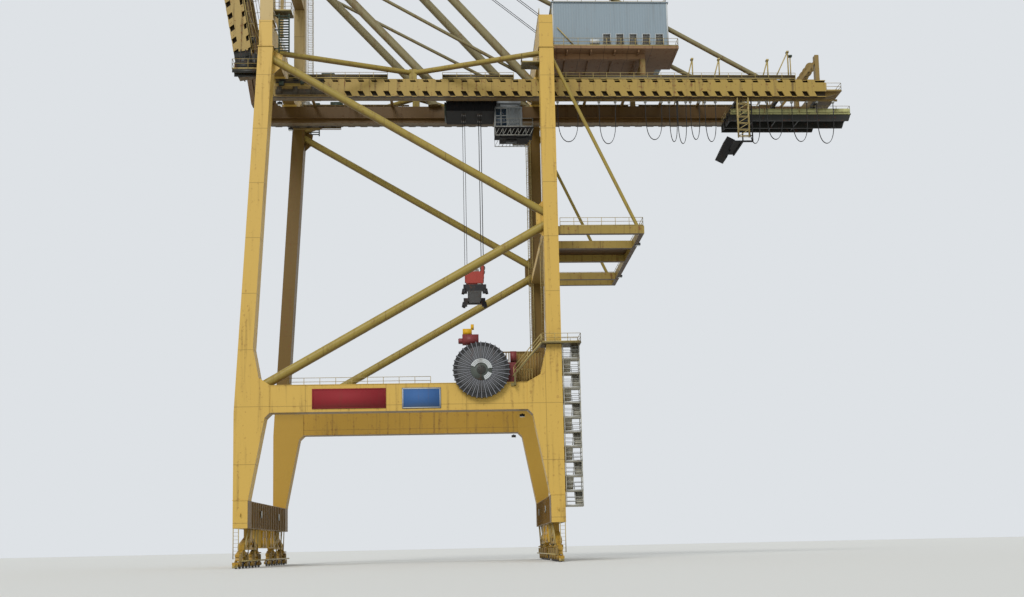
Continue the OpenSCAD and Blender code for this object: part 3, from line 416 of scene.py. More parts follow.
def makeFinishes():
    unseamed = 50.0
    plateLines = seamsAt(0.78, 0.56, 0.45)
    tubeLines = seamsAt(0.61, unseamed, 0.5)
    farShares = {"streaks": 0.6, "spots": 0.4}
    plateShares = {"streaks": 0.3, "spots": 0.08, "fade": 0.3, "roughLift": 0.3}
    yellow = (199, 164, 80)
    # Painted shade in the recess behind the toothed band; the inner faces get rope grease and painted
    # shade.
    webShadow = (1, 0.3485, 0.3755, tone(44, 34, 22), 0.95)
    innerGreaseAndShade = (1, 0.2, 0.2745, tone(76, 50, 16), 0.9)
    return {
        "crane": paintFinish("craneYellow", yellow, base=yellowCoat, **plateLines),
        # Painted shade: the far portal beam and the far legs are darker copies of the crane yellow.
        "craneShaded": paintFinish("craneYellowShaded", (168, 132, 50), base=yellowCoat, **farShares,
                                **plateLines),
        "legShaded": paintFinish("legYellowShaded", (104, 80, 32), base=yellowCoat, **farShares,
                              **plateLines, lower=(1.62, 1.95, tone(176, 140, 56))),
        "cranePale": paintFinish("towerYellow", (184, 160, 106), base=yellowCoat, streaks=0.55,
                                 **seamsAt(unseamed, 0.5, 0.5)),
        "tube": paintFinish("tubeYellow", (150, 131, 62), base=yellowCoat, streaks=0.4,
                            **tubeLines),
        "stayTube": paintFinish("stayTubeGrey", (128, 119, 86), base=yellowCoat, streaks=0.5,
                                **tubeLines),
        # Painted shade on the sill beams' inner faces, between 1.4 and 1.4545 from the middle.
        "sill": paintFinish("sillYellow", yellow, base=yellowCoat, **plateLines,
                            recess=[(0, 1.4, 1.4545, tone(98, 70, 18), 0.92)]),
        "girder": paintFinish("girderYellow", (160, 135, 70), (80, 64, 44), dirtyCoat,
                              streaks=0.85, **seamsAt(1.11, unseamed, 0.6),
                              recess=[webShadow, innerGreaseAndShade]),
        "bogie": paintFinish("bogieYellow", (168, 132, 48), (70, 52, 28), dirtyCoat, spots=0.8),
        "driveYellow": paintFinish("driveYellow", (206, 158, 16), base=yellowCoat, streaks=0.3),
        "outrigger": paintFinish("outriggerDull", (148, 126, 64), (66, 46, 22), dirtyCoat,
                                 underside=1.0),
        "grimy": paintFinish("grimyYellow", (134, 112, 66), base=dirtyCoat),
        "olive": paintFinish("walkwayOlive", (128, 116, 72), (60, 52, 34), yellowCoat,
                             **pattern(gratingGroup, (54, 46, 30), 0.55)),
        # Painted shade: the portal cabinet's crane yellow darkened; the travel gear cases share it.
        "cabinet": paintFinish("cabinetYellowShaded", (142, 114, 56), base=yellowCoat),
        "stairGrey": paintFinish("stairGrey", (178, 174, 156), (118, 112, 92), streaks=0.4,
                                 underside=0.5, spots=0.2,
                                 **pattern(gratingGroup, (84, 80, 66), 0.5)),
        "underframe": paintFinish("deckBrown", (132, 102, 72), (102, 77, 56), rust=(112, 62, 34),
                                  streaks=0.5, underside=0.6, spots=0.5, fade=0.4,
                                  **seamsAt(0.26, unseamed, 0.7, (58, 40, 28))),
        "cladding": paintFinish("houseCladding", (134, 148, 157), (112, 116, 118),
                                rust=(128, 104, 84), streaks=0.35, underside=0.5, spots=0.06,
                                fade=0.2, **pattern(claddingGroup, (138, 144, 148), 0.5)),
        "trim": paintFinish("trimGrey", (188, 192, 192), (120, 118, 112), streaks=0.4, spots=0.1),
        "railing": paintFinish("railingYellow", (170, 152, 98), base=yellowCoat, streaks=0.3,
                               spots=0.4),
        "galvanised": paintFinish("galvanisedGrey", (176, 176, 170), (112, 108, 98), streaks=0.4,
                                  spots=0.25, metallic=0.35),
        # Painted shade in the band between the reel's flanges.
        "reel": paintFinish("reelGrey", (118, 119, 124), (74, 73, 72), streaks=0.35,
                            underside=0.2, spots=0.1, metallic=0.2,
                            recess=[(1, 1.0535, 1.0865, tone(34, 34, 33), 0.92)]),
        "reelDark": paintFinish("reelDark", (56, 56, 52), (38, 36, 32), streaks=0.3, spots=0.1),
        "reelBack": paintFinish("reelBack", (80, 81, 80), (52, 52, 48), streaks=0.4, spots=0.2),
        "reelMiddle": paintFinish("reelMiddle", (84, 90, 84), (54, 56, 50), streaks=0.4,
                                  spots=0.2),
        "reelDrive": paintFinish("driveRed", (118, 52, 52), (74, 44, 40), spots=0.3),
        "hung": paintFinish("hungPlatformDark", (44, 44, 40), (34, 33, 33), streaks=0.7,
                            underside=1.0, spots=0.3),
        "hungPanel": paintFinish("hungPanelGreen", (186, 184, 126), (116, 112, 76), streaks=0.5,
                                 spots=0.3),
        "duct": paintFinish("ductBrown", (66, 58, 44), (48, 42, 32), streaks=0.5, spots=0.3),
        "ladderGreen": paintFinish("ladderGreen", (58, 70, 58), (40, 44, 38), spots=0.2),
        "trolley": paintFinish("trolleyBlack", (14, 14, 16), (34, 30, 26), rust=(62, 40, 28),
                               streaks=0.5, underside=0.3, spots=0.3, roughLift=0.25),
        "cab": paintFinish("cabGrey", (144, 150, 154), (96, 96, 92), streaks=0.3, underside=0.5,
                           spots=0.05),
        "red": paintFinish("headblockRed", (166, 66, 56), (90, 44, 34), streaks=0.4,
                           underside=0.4, spots=0.3),
        "spreader": paintFinish("spreaderBlack", (38, 37, 40), (66, 58, 48), rust=(104, 62, 40),
                                streaks=0.4, underside=0.2, spots=0.5),
        "wheel": paintFinish("rolledSteel", (92, 88, 84), (54, 48, 42), streaks=0.4, spots=0.5,
                             metallic=0.7),
        "rope": paintFinish("greasedRope", (48, 47, 44), (30, 28, 26), streaks=0.3, spots=0.0,
                            **pattern(ropeGroup, (22, 20, 18), 0.7), metallic=0.4),
        "rubber": paintFinish("cableRubber", (40, 40, 40), (58, 52, 46), streaks=0.3, spots=0.0,
                              roughLift=0.25),
        "dark": paintFinish("louvreDark", (38, 38, 40), (24, 24, 24), streaks=0.3, spots=0.0),
        "plateRed": paintFinish("plateRed", (134, 36, 42), (108, 62, 52), **plateShares),
        "plateBlue": paintFinish("plateBlue", (58, 96, 148), (90, 100, 108), **plateShares),
        "plateWhite": paintFinish("plateWhite", (206, 206, 198), (150, 142, 120), streaks=0.3,
                                  spots=0.08),
    }


finish = makeFinishes()


def glassMaterial():
    material = bpy.data.materials.new("cabGlass")
    material.use_nodes = True
    tree = material.node_tree
    shader = tree.nodes["Principled BSDF"]
    coords = tree.nodes.new("ShaderNodeTexCoord")
    film = cloudNoise(tree, stretched(tree, coords.outputs["Object"], (8.0, 8.0, 3.0)), 3.0)
    colour = blendTone(tree, stepUp(tree, film, 0.45, 0.7), tone(38, 56, 74), tone(74, 88, 98))
    tree.links.new(colour, shader.inputs["Base Color"])
    dusty = calc(tree, "MULTIPLY_ADD", film, 0.22, 0.02)
    tree.links.new(dusty, shader.inputs["Roughness"])
    shader.inputs["IOR"].default_value = 1.52
    shader.inputs["Coat Weight"].default_value = 0.5
    return material


def lensMaterial():
    material = bpy.data.materials.new("lampLens")
    material.use_nodes = True
    tree = material.node_tree
    shader = tree.nodes["Principled BSDF"]
    coords = tree.nodes.new("ShaderNodeTexCoord")
    film = cloudNoise(tree, coords.outputs["Object"], 30.0)
    colour = blendTone(tree, stepUp(tree, film, 0.4, 0.7), tone(232, 236, 238), tone(196, 200, 198))
    tree.links.new(colour, shader.inputs["Base Color"])
    tree.links.new(calc(tree, "MULTIPLY_ADD", film, 0.3, 0.05), shader.inputs["Roughness"])
    return material


finish["glass"] = glassMaterial()
finish["lens"] = lensMaterial()

nodeFinishes = {
    "sill": ["sill_beam_waterside", "sill_beam_landside"],
    "crane": ["waterside_leg_near", "landside_leg_near", "portal_beam_near",
              "landside_mid_beam", "waterside_cross_beam", "landside_cross_beam"],
    # The far frame takes the darker copies of the crane yellow, which are painted shade.
    "craneShaded": ["portal_beam_far"],
    "legShaded": ["waterside_leg_far", "landside_leg_far"],
    "cranePale": ["tower_leg_near", "tower_leg_far", "tower_beam", "tower_top_near",
                  "tower_top_far", "apex_beam", "forestay_upper", "forestay_lower"],
    "outrigger": ["outrigger_frame"],
    "tube": ["diagonals_near", "diagonals_far", "plan_braces", "outrigger_ties"],
    "stayTube": ["back_legs", "tower_stays", "backstays"],
    "girder": ["girder_near", "girder_far", "boom_near", "boom_far"],
    "grimy": ["girder_ties", "boom_ties", "girder_end_frame", "house_support"],
    "bogie": ["bogies_waterside_near", "bogies_waterside_far", "bogies_landside_near",
              "bogies_landside_far"],
    "wheel": ["wheels_waterside", "wheels_landside"],
    "olive": ["girder_walkways", "leg_platform"],
    "hung": ["end_platform"],
    "stairGrey": ["stair_tower"],
    "cabinet": ["portal_cabinet"],
    "underframe": ["house_deck"],
    "cladding": ["machinery_house"],
    "reelDrive": ["reel_stand"],
    "reel": ["cable_reel"],
    "trolley": ["trolley", "cab_platform", "service_box"],
    "cab": ["operator_cab"],
    "red": ["headblock"],
    "spreader": ["spreader"],
    "rope": ["hoist_ropes"],
}


def dressNodes(plan):
    left = set(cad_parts)
    for finishName, names in plan.items():
        for nodeName in names:
            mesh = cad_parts[nodeName].data
            mesh.materials.clear()
            mesh.materials.append(finish[finishName])
            left.discard(nodeName)
    print("nodes painted, left over:", sorted(left))


dressNodes(nodeFinishes)


# Shapes are a table of points and a list of face tables, all worked out as whole arrays
def crossAxes(along):
    # side = bar direction x up, top = side x bar direction; upright bars use +X for up.
    upward = np.zeros_like(along)
    upward[:, 2] = 1.0
    upward[np.abs(along[:, 2]) > 0.97] = (1.0, 0.0, 0.0)
    side = np.cross(along, upward)
    side /= np.linalg.norm(side, axis=1, keepdims=True)
    return side, np.cross(side, along)


def roundProfile(radius, sides=6):
    # Corners at radius * (cos a, sin a), a in even steps from half a step.
    angle = np.arange(sides) * 2 * np.pi / sides + np.pi / sides
    return np.stack([np.cos(angle), np.sin(angle)], axis=1) * radius


def flatProfile(wide, high):
    return np.array([[-wide, -high], [wide, -high], [wide, high], [-wide, high]]) / 2


def beamProfile(wide, high, web):
    # An I section, walked once round.
    w, h, t = wide / 2, high / 2, web / 2
    f = h - web
    return np.array([[-w, -h], [w, -h], [w, -f], [t, -f], [t, f], [w, f], [w, h], [-w, h],
                     [-w, f], [-t, f], [-t, -f], [-w, -f]])


def grooveProfile(rim, root, half, lip, floor):
    # A sheave's section: rims at the half width, lips, and the groove's floor at the root radius.
    return [(rim, -half), (rim, -lip), (root, -floor), (root, floor), (rim, lip), (rim, half)]


def bars(starts, ends, profile):
    # Each bar carries the profile from start to end: corner = end point + side * u + top * v.
    starts = np.asarray(starts, float).reshape(-1, 3)
    ends = np.asarray(ends, float).reshape(-1, 3)
    along = ends - starts
    along /= np.linalg.norm(along, axis=1, keepdims=True)
    side, top = crossAxes(along)
    ring = (profile[None, :, :1] * side[:, None, :] + profile[None, :, 1:] * top[:, None, :])
    points = np.concatenate([starts[:, None] + ring, ends[:, None] + ring], axis=1)
    count, size = len(starts), len(profile)
    here = np.arange(size)
    after = np.roll(here, -1)
    quad = np.stack([here, here + size, after + size, after], axis=1)
    shift = (np.arange(count) * 2 * size)[:, None, None]
    quads = (quad[None] + shift).reshape(-1, 4)
    caps = np.stack([here, here[::-1] + size])[None] + shift
    return points.reshape(-1, 3), [quads, caps.reshape(-1, size)]


def boxes(rows):
    # Each row is a centre x, y, z and a size x, y, z.
    rows = np.asarray(rows, float).reshape(-1, 6)
    corner = np.array([[-1, -1, -1], [1, -1, -1], [1, 1, -1], [-1, 1, -1],
                       [-1, -1, 1], [1, -1, 1], [1, 1, 1], [-1, 1, 1]]) / 2
    points = rows[:, None, :3] + corner[None] * rows[:, None, 3:]
    face = np.array([[0, 3, 2, 1], [4, 5, 6, 7], [0, 1, 5, 4], [1, 2, 6, 5], [2, 3, 7, 6],
                     [3, 0, 4, 7]])
    faces = (face[None] + (np.arange(len(rows)) * 8)[:, None, None]).reshape(-1, 4)
    return points.reshape(-1, 3), [faces]


def turned(profile, centre, axis, sides=16):
    # A surface of revolution: radius and distance along the axis for each ring, ends capped.
    profile = np.asarray(profile, float)
    axis = np.asarray(axis, float)
    axis = axis / np.linalg.norm(axis)
    side, top = crossAxes(axis[None])
    angle = np.arange(sides) * 2 * np.pi / sides
    spoke = np.cos(angle)[:, None] * side[0] - np.sin(angle)[:, None] * top[0]
    points = (np.asarray(centre, float) + profile[:, None, 1:] * axis
              + profile[:, None, :1] * spoke[None])
    rings = len(profile)
    row, col = np.meshgrid(np.arange(rings - 1), np.arange(sides), indexing="ij")
    after = (col + 1) % sides
    quads = np.stack([row * sides + col, row * sides + after, (row + 1) * sides + after,
                      (row + 1) * sides + col], axis=-1).reshape(-1, 4)
    here = np.arange(sides)
    caps = np.stack([here[::-1], here + (rings - 1) * sides])
    return points.reshape(-1, 3), [quads, caps]


def tubeAlong(path, radius, sides=8, hint=(0.0, 1.0, 0.0)):
    # A round section carried along a curve; each ring stands square to the mean direction there.
    path = np.asarray(path, float)
    along = np.gradient(path, axis=0)
    along /= np.linalg.norm(along, axis=1, keepdims=True)
    side = np.cross(along, np.broadcast_to(np.asarray(hint, float), along.shape))
    side /= np.linalg.norm(side, axis=1, keepdims=True)
    top = np.cross(side, along)
    angle = np.arange(sides) * 2 * np.pi / sides
    ring = (np.cos(angle)[None, :, None] * side[:, None] + np.sin(angle)[None, :, None]
            * top[:, None]) * radius
    points = (path[:, None] + ring).reshape(-1, 3)
    row, col = np.meshgrid(np.arange(len(path) - 1), np.arange(sides), indexing="ij")
    after = (col + 1) % sides
    quads = np.stack([row * sides + col, (row + 1) * sides + col, (row + 1) * sides + after,
                      row * sides + after], axis=-1).reshape(-1, 4)
    here = np.arange(sides)
    caps = np.stack([here, here[::-1] + (len(path) - 1) * sides])
    return points, [quads, caps]


def repeated(shape, moves):
    # The same shape once for each move.
    points, faceSets = shape
    moves = np.asarray(moves, float).reshape(-1, 3)
    allPoints = (moves[:, None] + points[None]).reshape(-1, 3)
    shift = (np.arange(len(moves)) * len(points))[:, None, None]
    return allPoints, [(faces[None] + shift).reshape(-1, faces.shape[1]) for faces in faceSets]


def mirrored(shape, axis=1):
    # The shape on the other side of the middle plane, its faces turned back outwards.
    points, faceSets = shape
    points = points.copy()
    points[:, axis] *= -1
    return points, [faces[:, ::-1] for faces in faceSets]


def bothSides(shapes):
    return list(shapes) + [mirrored(shape) for shape in shapes]


def landingFloor(p):
    # A thin sheet over the landing's x0..x1 and in..out at its height.
    return boxes([((p["x0"] + p["x1"]) / 2, (p["in"] + p["out"]) / 2, p["z"], p["x1"] - p["x0"],
                   p["out"] - p["in"], 0.006)])


boomPose = {"hinge": (-1.503, 0.0, 5.230), "angle": math.radians(80.3)}


def raised(shape):
    # From the level boom, measured from its hinge, to its place at rest.
    points, faceSets = shape
    sinA, cosA = math.sin(boomPose["angle"]), math.cos(boomPose["angle"])
    turn = np.array([[cosA, 0, sinA], [0, 1, 0], [-sinA, 0, cosA]])
    return points @ turn.T + np.array(boomPose["hinge"]), faceSets


def addPiece(name, shapes, material, body, smooth=False):
    # All the shapes as one mesh; a piece without a body is attached to none.
    corners, sizes, shift = [], [], 0
    for shapePoints, faceSets in shapes:
        for faces in faceSets:
            corners.append((faces + shift).ravel())
            sizes.append(np.full(len(faces), faces.shape[1]))
        shift += len(shapePoints)
    points = np.concatenate([shape[0] for shape in shapes]).astype(np.float32)
    corners = np.concatenate(corners).astype(np.int32)
    sizes = np.concatenate(sizes)
    mesh = bpy.data.meshes.new(name)
    mesh.vertices.add(len(points))
    mesh.vertices.foreach_set("co", points.ravel())
    mesh.loops.add(len(corners))
    mesh.loops.foreach_set("vertex_index", corners)
    mesh.polygons.add(len(sizes))
    firsts = np.concatenate([[0], np.cumsum(sizes)[:-1]]).astype(np.int32)
    mesh.polygons.foreach_set("loop_start", firsts)
    mesh.update(calc_edges=True)
    if smooth:
        mesh.polygons.foreach_set("use_smooth", np.ones(len(sizes), dtype=bool))
        mesh.set_sharp_from_angle(angle=math.radians(40))
    mesh.materials.append(material)
    piece = bpy.data.objects.new(name, mesh)
    scene.collection.objects.link(piece)
    if body is not None:
        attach(piece, body)
    return piece


# Railings and walkways
railSizes = {"height": 0.088, "middle": 0.55, "postPitch": 0.15, "rail": 0.0026, "post": 0.0028,
             "toeBoard": 0.012, "toeLift": 0.008}
ladderSizes = {"rungPitch": 0.03, "rung": 0.0016, "hoopPitch": 0.09, "cageFrom": 0.2,
               "hoop": 0.0015, "straps": (1, 3, 4, 5, 7)}


def railing(path, height=None):
    # Two rails and a toe board follow the path; posts stand at even steps on each leg of it.
    height = height or railSizes["height"]
    path = np.asarray(path, float)
    starts, ends = path[:-1], path[1:]
    upward = np.array([0.0, 0.0, 1.0])
    tube = roundProfile(railSizes["rail"], 6)
    shapes = [bars(starts + upward * lift, ends + upward * lift, tube)
              for lift in (height, height * railSizes["middle"])]
    low = upward * railSizes["toeLift"]
    shapes.append(bars(starts + low, ends + low, flatProfile(0.0016, railSizes["toeBoard"])))
    feet = []
    for start, end in zip(starts, ends):
        steps = max(1, round(float(np.linalg.norm(end - start)) / railSizes["postPitch"]))
        feet.append(start + (end - start) * np.linspace(0, 1, steps + 1)[:, None])
    feet = np.concatenate(feet)
    shapes.append(bars(feet, feet + upward * height, roundProfile(railSizes["post"], 6)))
    return shapes


def ladder(foot, head, wide, sideways, cage=False):
    # Stiles, rungs at even steps, and round hoops with straps where there is a cage.
    s = ladderSizes
    foot, head = np.asarray(foot, float), np.asarray(head, float)
    sideways = np.asarray(sideways, float)
    rise = np.linalg.norm(head - foot)
    half = sideways * wide / 2
    shapes = [bars([foot - half, foot + half], [head - half, head + half],
                   flatProfile(0.003, 0.008))]
    steps = np.linspace(0.02, 0.98, max(2, int(rise / s["rungPitch"])))[:, None]
    rungs = foot + (head - foot) * steps
    shapes.append(bars(rungs - half, rungs + half, roundProfile(s["rung"], 5)))
    if cage:
        out = np.cross(sideways, (head - foot) / rise)
        angle = np.linspace(0, np.pi, 9)[:, None]
        hoop = (np.cos(angle) * sideways + np.sin(angle) * 1.5 * out) * wide * 0.62
        climb = (head - foot) / rise
        spots = foot + climb * np.arange(s["cageFrom"], rise, s["hoopPitch"])[:, None]
        shapes.append(repeated(tubeAlong(hoop, s["hoop"], 5, climb), spots))
        for pick in s["straps"]:
            shapes.append(bars(foot + hoop[pick] + climb * s["cageFrom"], head + hoop[pick],
                               flatProfile(0.0045, 0.0015)))
    return shapes


girderTop, deckTop = 5.196, 5.53
portalRails = {
    "girder": [[(-1.2, 0.384, girderTop), (-0.14, 0.384, girderTop)],
               [(0.45, 0.384, girderTop), (1.22, 0.384, girderTop)],
               [(1.64, 0.384, girderTop), (4.32, 0.384, girderTop)]],
    "endDeck": [[(4.66, 0.384, 5.064), (4.823, 0.384, 5.064), (4.823, 0.0, 5.064)]],
    "outrigger": [[(1.62, 0.975, 3.347), (2.46, 0.975, 3.347), (2.46, 0.0, 3.347)]],
    "crossBeams": [[(-1.245, 0.2, 5.485), (-1.245, 0.87, 5.485)],
                   [(1.46, 0.1, 5.557), (1.46, 1.0, 5.557)],
                   [(1.585, 0.5, 5.557), (1.585, 1.0, 5.557)]],
    "towerBeam": [[(-1.245, 0.0, 6.98), (-1.245, 0.86, 6.98)],
                  [(-1.36, 0.0, 6.98), (-1.36, 0.86, 6.98)]],
    "apex": [[(-1.25, 0.0, 8.25), (-1.25, 0.36, 8.25), (-1.355, 0.36, 8.25), (-1.355, 0.0, 8.25)]],
    "roof": [[(1.67, 0.0, 6.068), (1.67, 0.395, 6.068), (2.91, 0.395, 6.068), (2.91, 0.0, 6.068)]],
    "portal": [[(-1.1, 0.9, 1.76), (0.3, 0.9, 1.76)]],
}
deckRails = [[(1.61, -0.464, deckTop), (3.014, -0.464, deckTop), (3.014, -0.008, deckTop)],
             [(1.61, 0.464, deckTop), (2.844, 0.464, deckTop), (2.844, 0.02, deckTop)],
             [(3.63, -0.16, 4.905), (5.0, -0.16, 4.905), (5.0, 0.04, 4.905), (4.71, 0.04, 4.905)],
             [(3.63, -0.16, 4.905), (3.63, 0.144, 4.905), (4.69, 0.144, 4.905)]]
legPlatform = {"z": 2.14, "x0": 1.4, "x1": 1.78, "outer": -1.09, "inner": -0.872}


def buildRailings():
    shapes = []
    for name, paths in portalRails.items():
        height = 0.07 if name == "girder" else None
        for path in paths:
            shapes += bothSides(railing(path, height))
    addPiece("portal_railings", shapes, finish["railing"], "portal")
    shapes = []
    for path in deckRails:
        shapes += railing(path)
    g = legPlatform
    shapes += railing([(g["x0"], g["outer"], g["z"]), (g["x1"], g["outer"], g["z"]),
                       (g["x1"], g["inner"], g["z"]), (1.6, g["inner"], g["z"])])
    addPiece("deck_railings", shapes, finish["railing"], "portal")


buildRailings()
print("railings done")

stairs = {"x0": 1.605, "x1": 1.775, "y": -0.96, "half": 0.062, "top": 2.13, "rise": 0.145,
          "flights": 11, "tread": 0.018, "treadDeep": 0.02, "stringer": 0.018, "rails": (0.085, 0.045),
          "tube": 0.0024}
# Foot, head and width of each ladder with a cage; the last stands on both sides
cageLadders = [((1.445, 0.86, 2.14), (1.445, 0.86, 5.1), 0.05),
               ((1.445, -0.878, 2.2), (1.445, -0.878, 3.26), 0.05),
               ((-1.17, -0.9, 5.62), (-1.17, -0.9, 6.98), 0.06)]


def flight(foot, head, wide):
    # Treads between two stringers, with a handrail over each stringer.
    foot, head = np.asarray(foot, float), np.asarray(head, float)
    run = head - foot
    flat = np.array([run[0], run[1], 0.0])
    flat /= np.linalg.norm(flat)
    across = np.array([flat[1], -flat[0], 0.0]) * wide / 2
    upward = np.array([0.0, 0.0, 1.0])
    count = max(3, int(run[2] / stairs["tread"]))
    spots = foot + run * ((np.arange(count) + 0.5) / count)[:, None]
    shapes = [bars(spots - across, spots + across, flatProfile(stairs["treadDeep"], 0.0025))]
    edge = np.stack([foot - across, foot + across])
    far = edge + run
    shapes.append(bars(edge, far, flatProfile(0.003, stairs["stringer"])))
    tube = roundProfile(stairs["tube"], 6)
    for lift in stairs["rails"]:
        shapes.append(bars(edge + upward * lift, far + upward * lift, tube))
    posts = np.concatenate([edge, far, (edge + far) / 2])
    shapes.append(bars(posts, posts + upward * stairs["rails"][0], tube))
    return shapes


def buildStairs(s):
    middle = (s["x0"] + s["x1"]) / 2
    reach = s["half"] - 0.016
    lane = (s["x1"] - s["x0"]) / 4
    shapes = []
    for number in range(1, s["flights"] + 1):
        z = s["top"] - number * s["rise"]
        way = -1 if number % 2 == 0 else 1
        x = middle + lane * (1 if number % 2 else -1)
        shapes += flight((x, s["y"] - way * reach, z + 0.006),
                         (x, s["y"] + way * reach, z + s["rise"] + 0.004), lane * 1.7)
        outer = s["x1"] - 0.004
        for side in (-1, 1):
            y = s["y"] + side * (s["half"] - 0.002)
            shapes += railing([(s["x0"] + 0.006, y, z), (outer, y, z)])
        shapes += railing([(outer, s["y"] - s["half"], z), (outer, s["y"] + s["half"], z)])
    addPiece("stairs", shapes, finish["galvanised"], "portal")
    shapes = flight((1.118, -1.069, 1.815), (1.392, -1.069, 2.14), 0.046)
    addPiece("platform_stair", shapes, finish["railing"], "portal")
    caged = [ladder(*row, (1.0, 0.0, 0.0), True) for row in cageLadders]
    shapes = caged[0] + caged[1] + bothSides(caged[2])
    addPiece("cage_ladders", shapes, finish["railing"], "portal")


buildStairs(stairs)
print("stairs done")

boomFit = {"top": -0.04, "tip": -4.98, "rail": 0.384, "railHigh": 0.07,
           "spans": [(-0.3, -1.6), (-1.7, -3.3), (-3.55, -4.98)],
           "coverRibs": (-0.275, -0.215, -0.155, -0.095, -0.035),
           "boxes": (-0.12, -0.42, -0.9, -1.65, -2.5, -3.4, -4.3)}


def buildBoomFittings(b):
    shapes = []
    foot = b["top"] + 0.006
    for start, end in b["spans"]:
        shapes += bothSides(railing([(start, b["rail"], foot), (end, b["rail"], foot)],
                                    b["railHigh"]))
    walk = ((-0.3 + b["tip"]) / 2, 0.366, b["top"] + 0.003, 4.68, 0.05, 0.006)
    plates = boxes([(walk[0], side * walk[1], *walk[2:]) for side in (-1, 1)])
    addPiece("boom_railings", [raised(shape) for shape in shapes], finish["railing"], "boom")
    addPiece("boom_walkways", [raised(plates)], finish["olive"], "boom")
    covers = [(-0.155, side * 0.421, -0.135, 0.25, 0.003, 0.18) for side in (-1, 1)]
    covers += [(x, side * 0.424, -0.135, 0.006, 0.004, 0.18) for side in (-1, 1)
               for x in b["coverRibs"]]
    covers += [(x, side * 0.36, b["top"] + 0.03, 0.06, 0.04, 0.05) for side in (-1, 1)
               for x in b["boxes"]]
    addPiece("boom_root_covers", [raised(boxes(covers))], finish["hung"], "boom")
    trayZ = b["top"] + 0.012
    conduit = [bars([(-0.2, side * 0.3, trayZ)], [(b["tip"] + 0.1, side * 0.3, trayZ)],
                    flatProfile(0.03, 0.02)) for side in (-1, 1)]
    addPiece("boom_cable_trays", [raised(shape) for shape in conduit], finish["grimy"], "boom")


buildBoomFittings(boomFit)
print("boom fittings done")

# Festoon: cable loops of uneven width that hang from a track inside the near girder
festoon = {"y": -0.315, "track": 4.985, "cable": 0.0031, "split": 0.0042,
           "loops": [(1.697, 1.917), (2.15, 2.329), (2.66, 2.839), (2.923, 3.006), (3.014, 3.108),
                     (3.158, 3.255), (3.319, 3.436), (3.798, 3.923), (4.007, 4.175),
                     (4.287, 4.455), (4.567, 4.75)],
           "drop": 0.44}


def buildFestoon(f):
    x0, x1 = f["loops"][0][0], f["loops"][-1][1]
    track = [bars([(x0 - 0.1, f["y"], f["track"])], [(x1 + 0.05, f["y"], f["track"])],
                  beamProfile(0.014, 0.02, 0.003))]
    addPiece("festoon_track", track, finish["grimy"], "portal")
    share = np.linspace(0, 1, 21)
    shapes, carriers = [], []
    for number, (start, end) in enumerate(f["loops"]):
        # A hanging loop: sides drop steeply and the bottom is round.
        x = start + (end - start) * (0.5 - 0.5 * np.cos(np.pi * share))
        deep = f["drop"] * (1.0 + 0.06 * math.sin(number * 2.1)) * np.sin(np.pi * share) ** 0.45
        path = np.stack([x, np.full_like(x, f["y"]), f["track"] - 0.03 - deep], axis=1)
        for shift in (-f["split"], f["split"]):
            shapes.append(tubeAlong(path + (0, shift, 0), f["cable"], 6))
        for x in (start, end):
            carriers.append((x, f["y"], f["track"] - 0.02, 0.026, 0.02, 0.022))
    addPiece("festoon_cables", shapes, finish["rubber"], "portal", True)
    addPiece("festoon_carriers", [boxes(carriers)], finish["galvanised"], "portal")


buildFestoon(festoon)

# Floodlights: a dark housing with a pale lens
lampSpots = {
    "portal": [(1.2, -0.9, 1.46), (1.2, 0.9, 1.46), (2.47, -0.6, 3.29), (2.47, 0.6, 3.29),
               (-1.3, -0.32, 4.96), (-1.3, 0.32, 4.96)],
    "boom": [(-0.152, side * 0.43, 0.02) for side in (-1, 1)],
}


def floodlight(spot):
    # A flat housing with its clamp above and the lens under it.
    x, y, z = spot
    housing = boxes([(x, y, z - 0.016, 0.05, 0.04, 0.024), (x, y, z - 0.002, 0.012, 0.03, 0.012)])
    lens = boxes([(x, y, z - 0.029, 0.044, 0.034, 0.003)])
    return housing, lens


def buildLamps(spots):
    pairs = [floodlight(spot) for spot in spots["portal"]]
    addPiece("floodlight_housings", [pair[0] for pair in pairs], finish["dark"], "portal")
    addPiece("floodlight_lenses", [pair[1] for pair in pairs], finish["lens"], "portal")
    housings = [raised(boxes([(x, y, z, 0.05, 0.03, 0.04)])) for x, y, z in spots["boom"]]
    lenses = [raised(boxes([(x, y + math.copysign(0.017, y), z, 0.044, 0.004, 0.034)]))
              for x, y, z in spots["boom"]]
    addPiece("boom_lamp_housings", housings, finish["dark"], "boom")
    addPiece("boom_lamp_lenses", lenses, finish["lens"], "boom")


buildLamps(lampSpots)
print("festoon and lamps done")

# Bare plates on the near portal beam
plates = {
    "y": -1.029,
    "red": (-0.845, -0.132, 1.519, 1.716),
    "blue": (0.025, 0.402, 1.512, 1.714),
}


def framedPlate(name, extent, y, face, border):
    x0, x1, z0, z1 = extent
    middle = ((x0 + x1) / 2, y - 0.004, (z0 + z1) / 2)
    sheet = boxes([(*middle, x1 - x0, 0.006, z1 - z0)])
    addPiece(name, [sheet], finish[face], "portal")
    front, inset = y - 0.0075, 0.008
    rows = [(middle[0], front, z, x1 - x0 - inset, 0.003, 0.006) for z in (z0 + inset, z1 - inset)]
    rows += [(x, front, middle[2], 0.006, 0.003, z1 - z0 - 2 * inset)
             for x in (x0 + inset, x1 - inset)]
    addPiece(name + "_border", [boxes(rows)], finish[border], "portal")


framedPlate("plate_long", plates["red"], plates["y"], "plateRed", "plateRed")
framedPlate("plate_short", plates["blue"], plates["y"], "plateBlue", "plateWhite")
print("plates done")

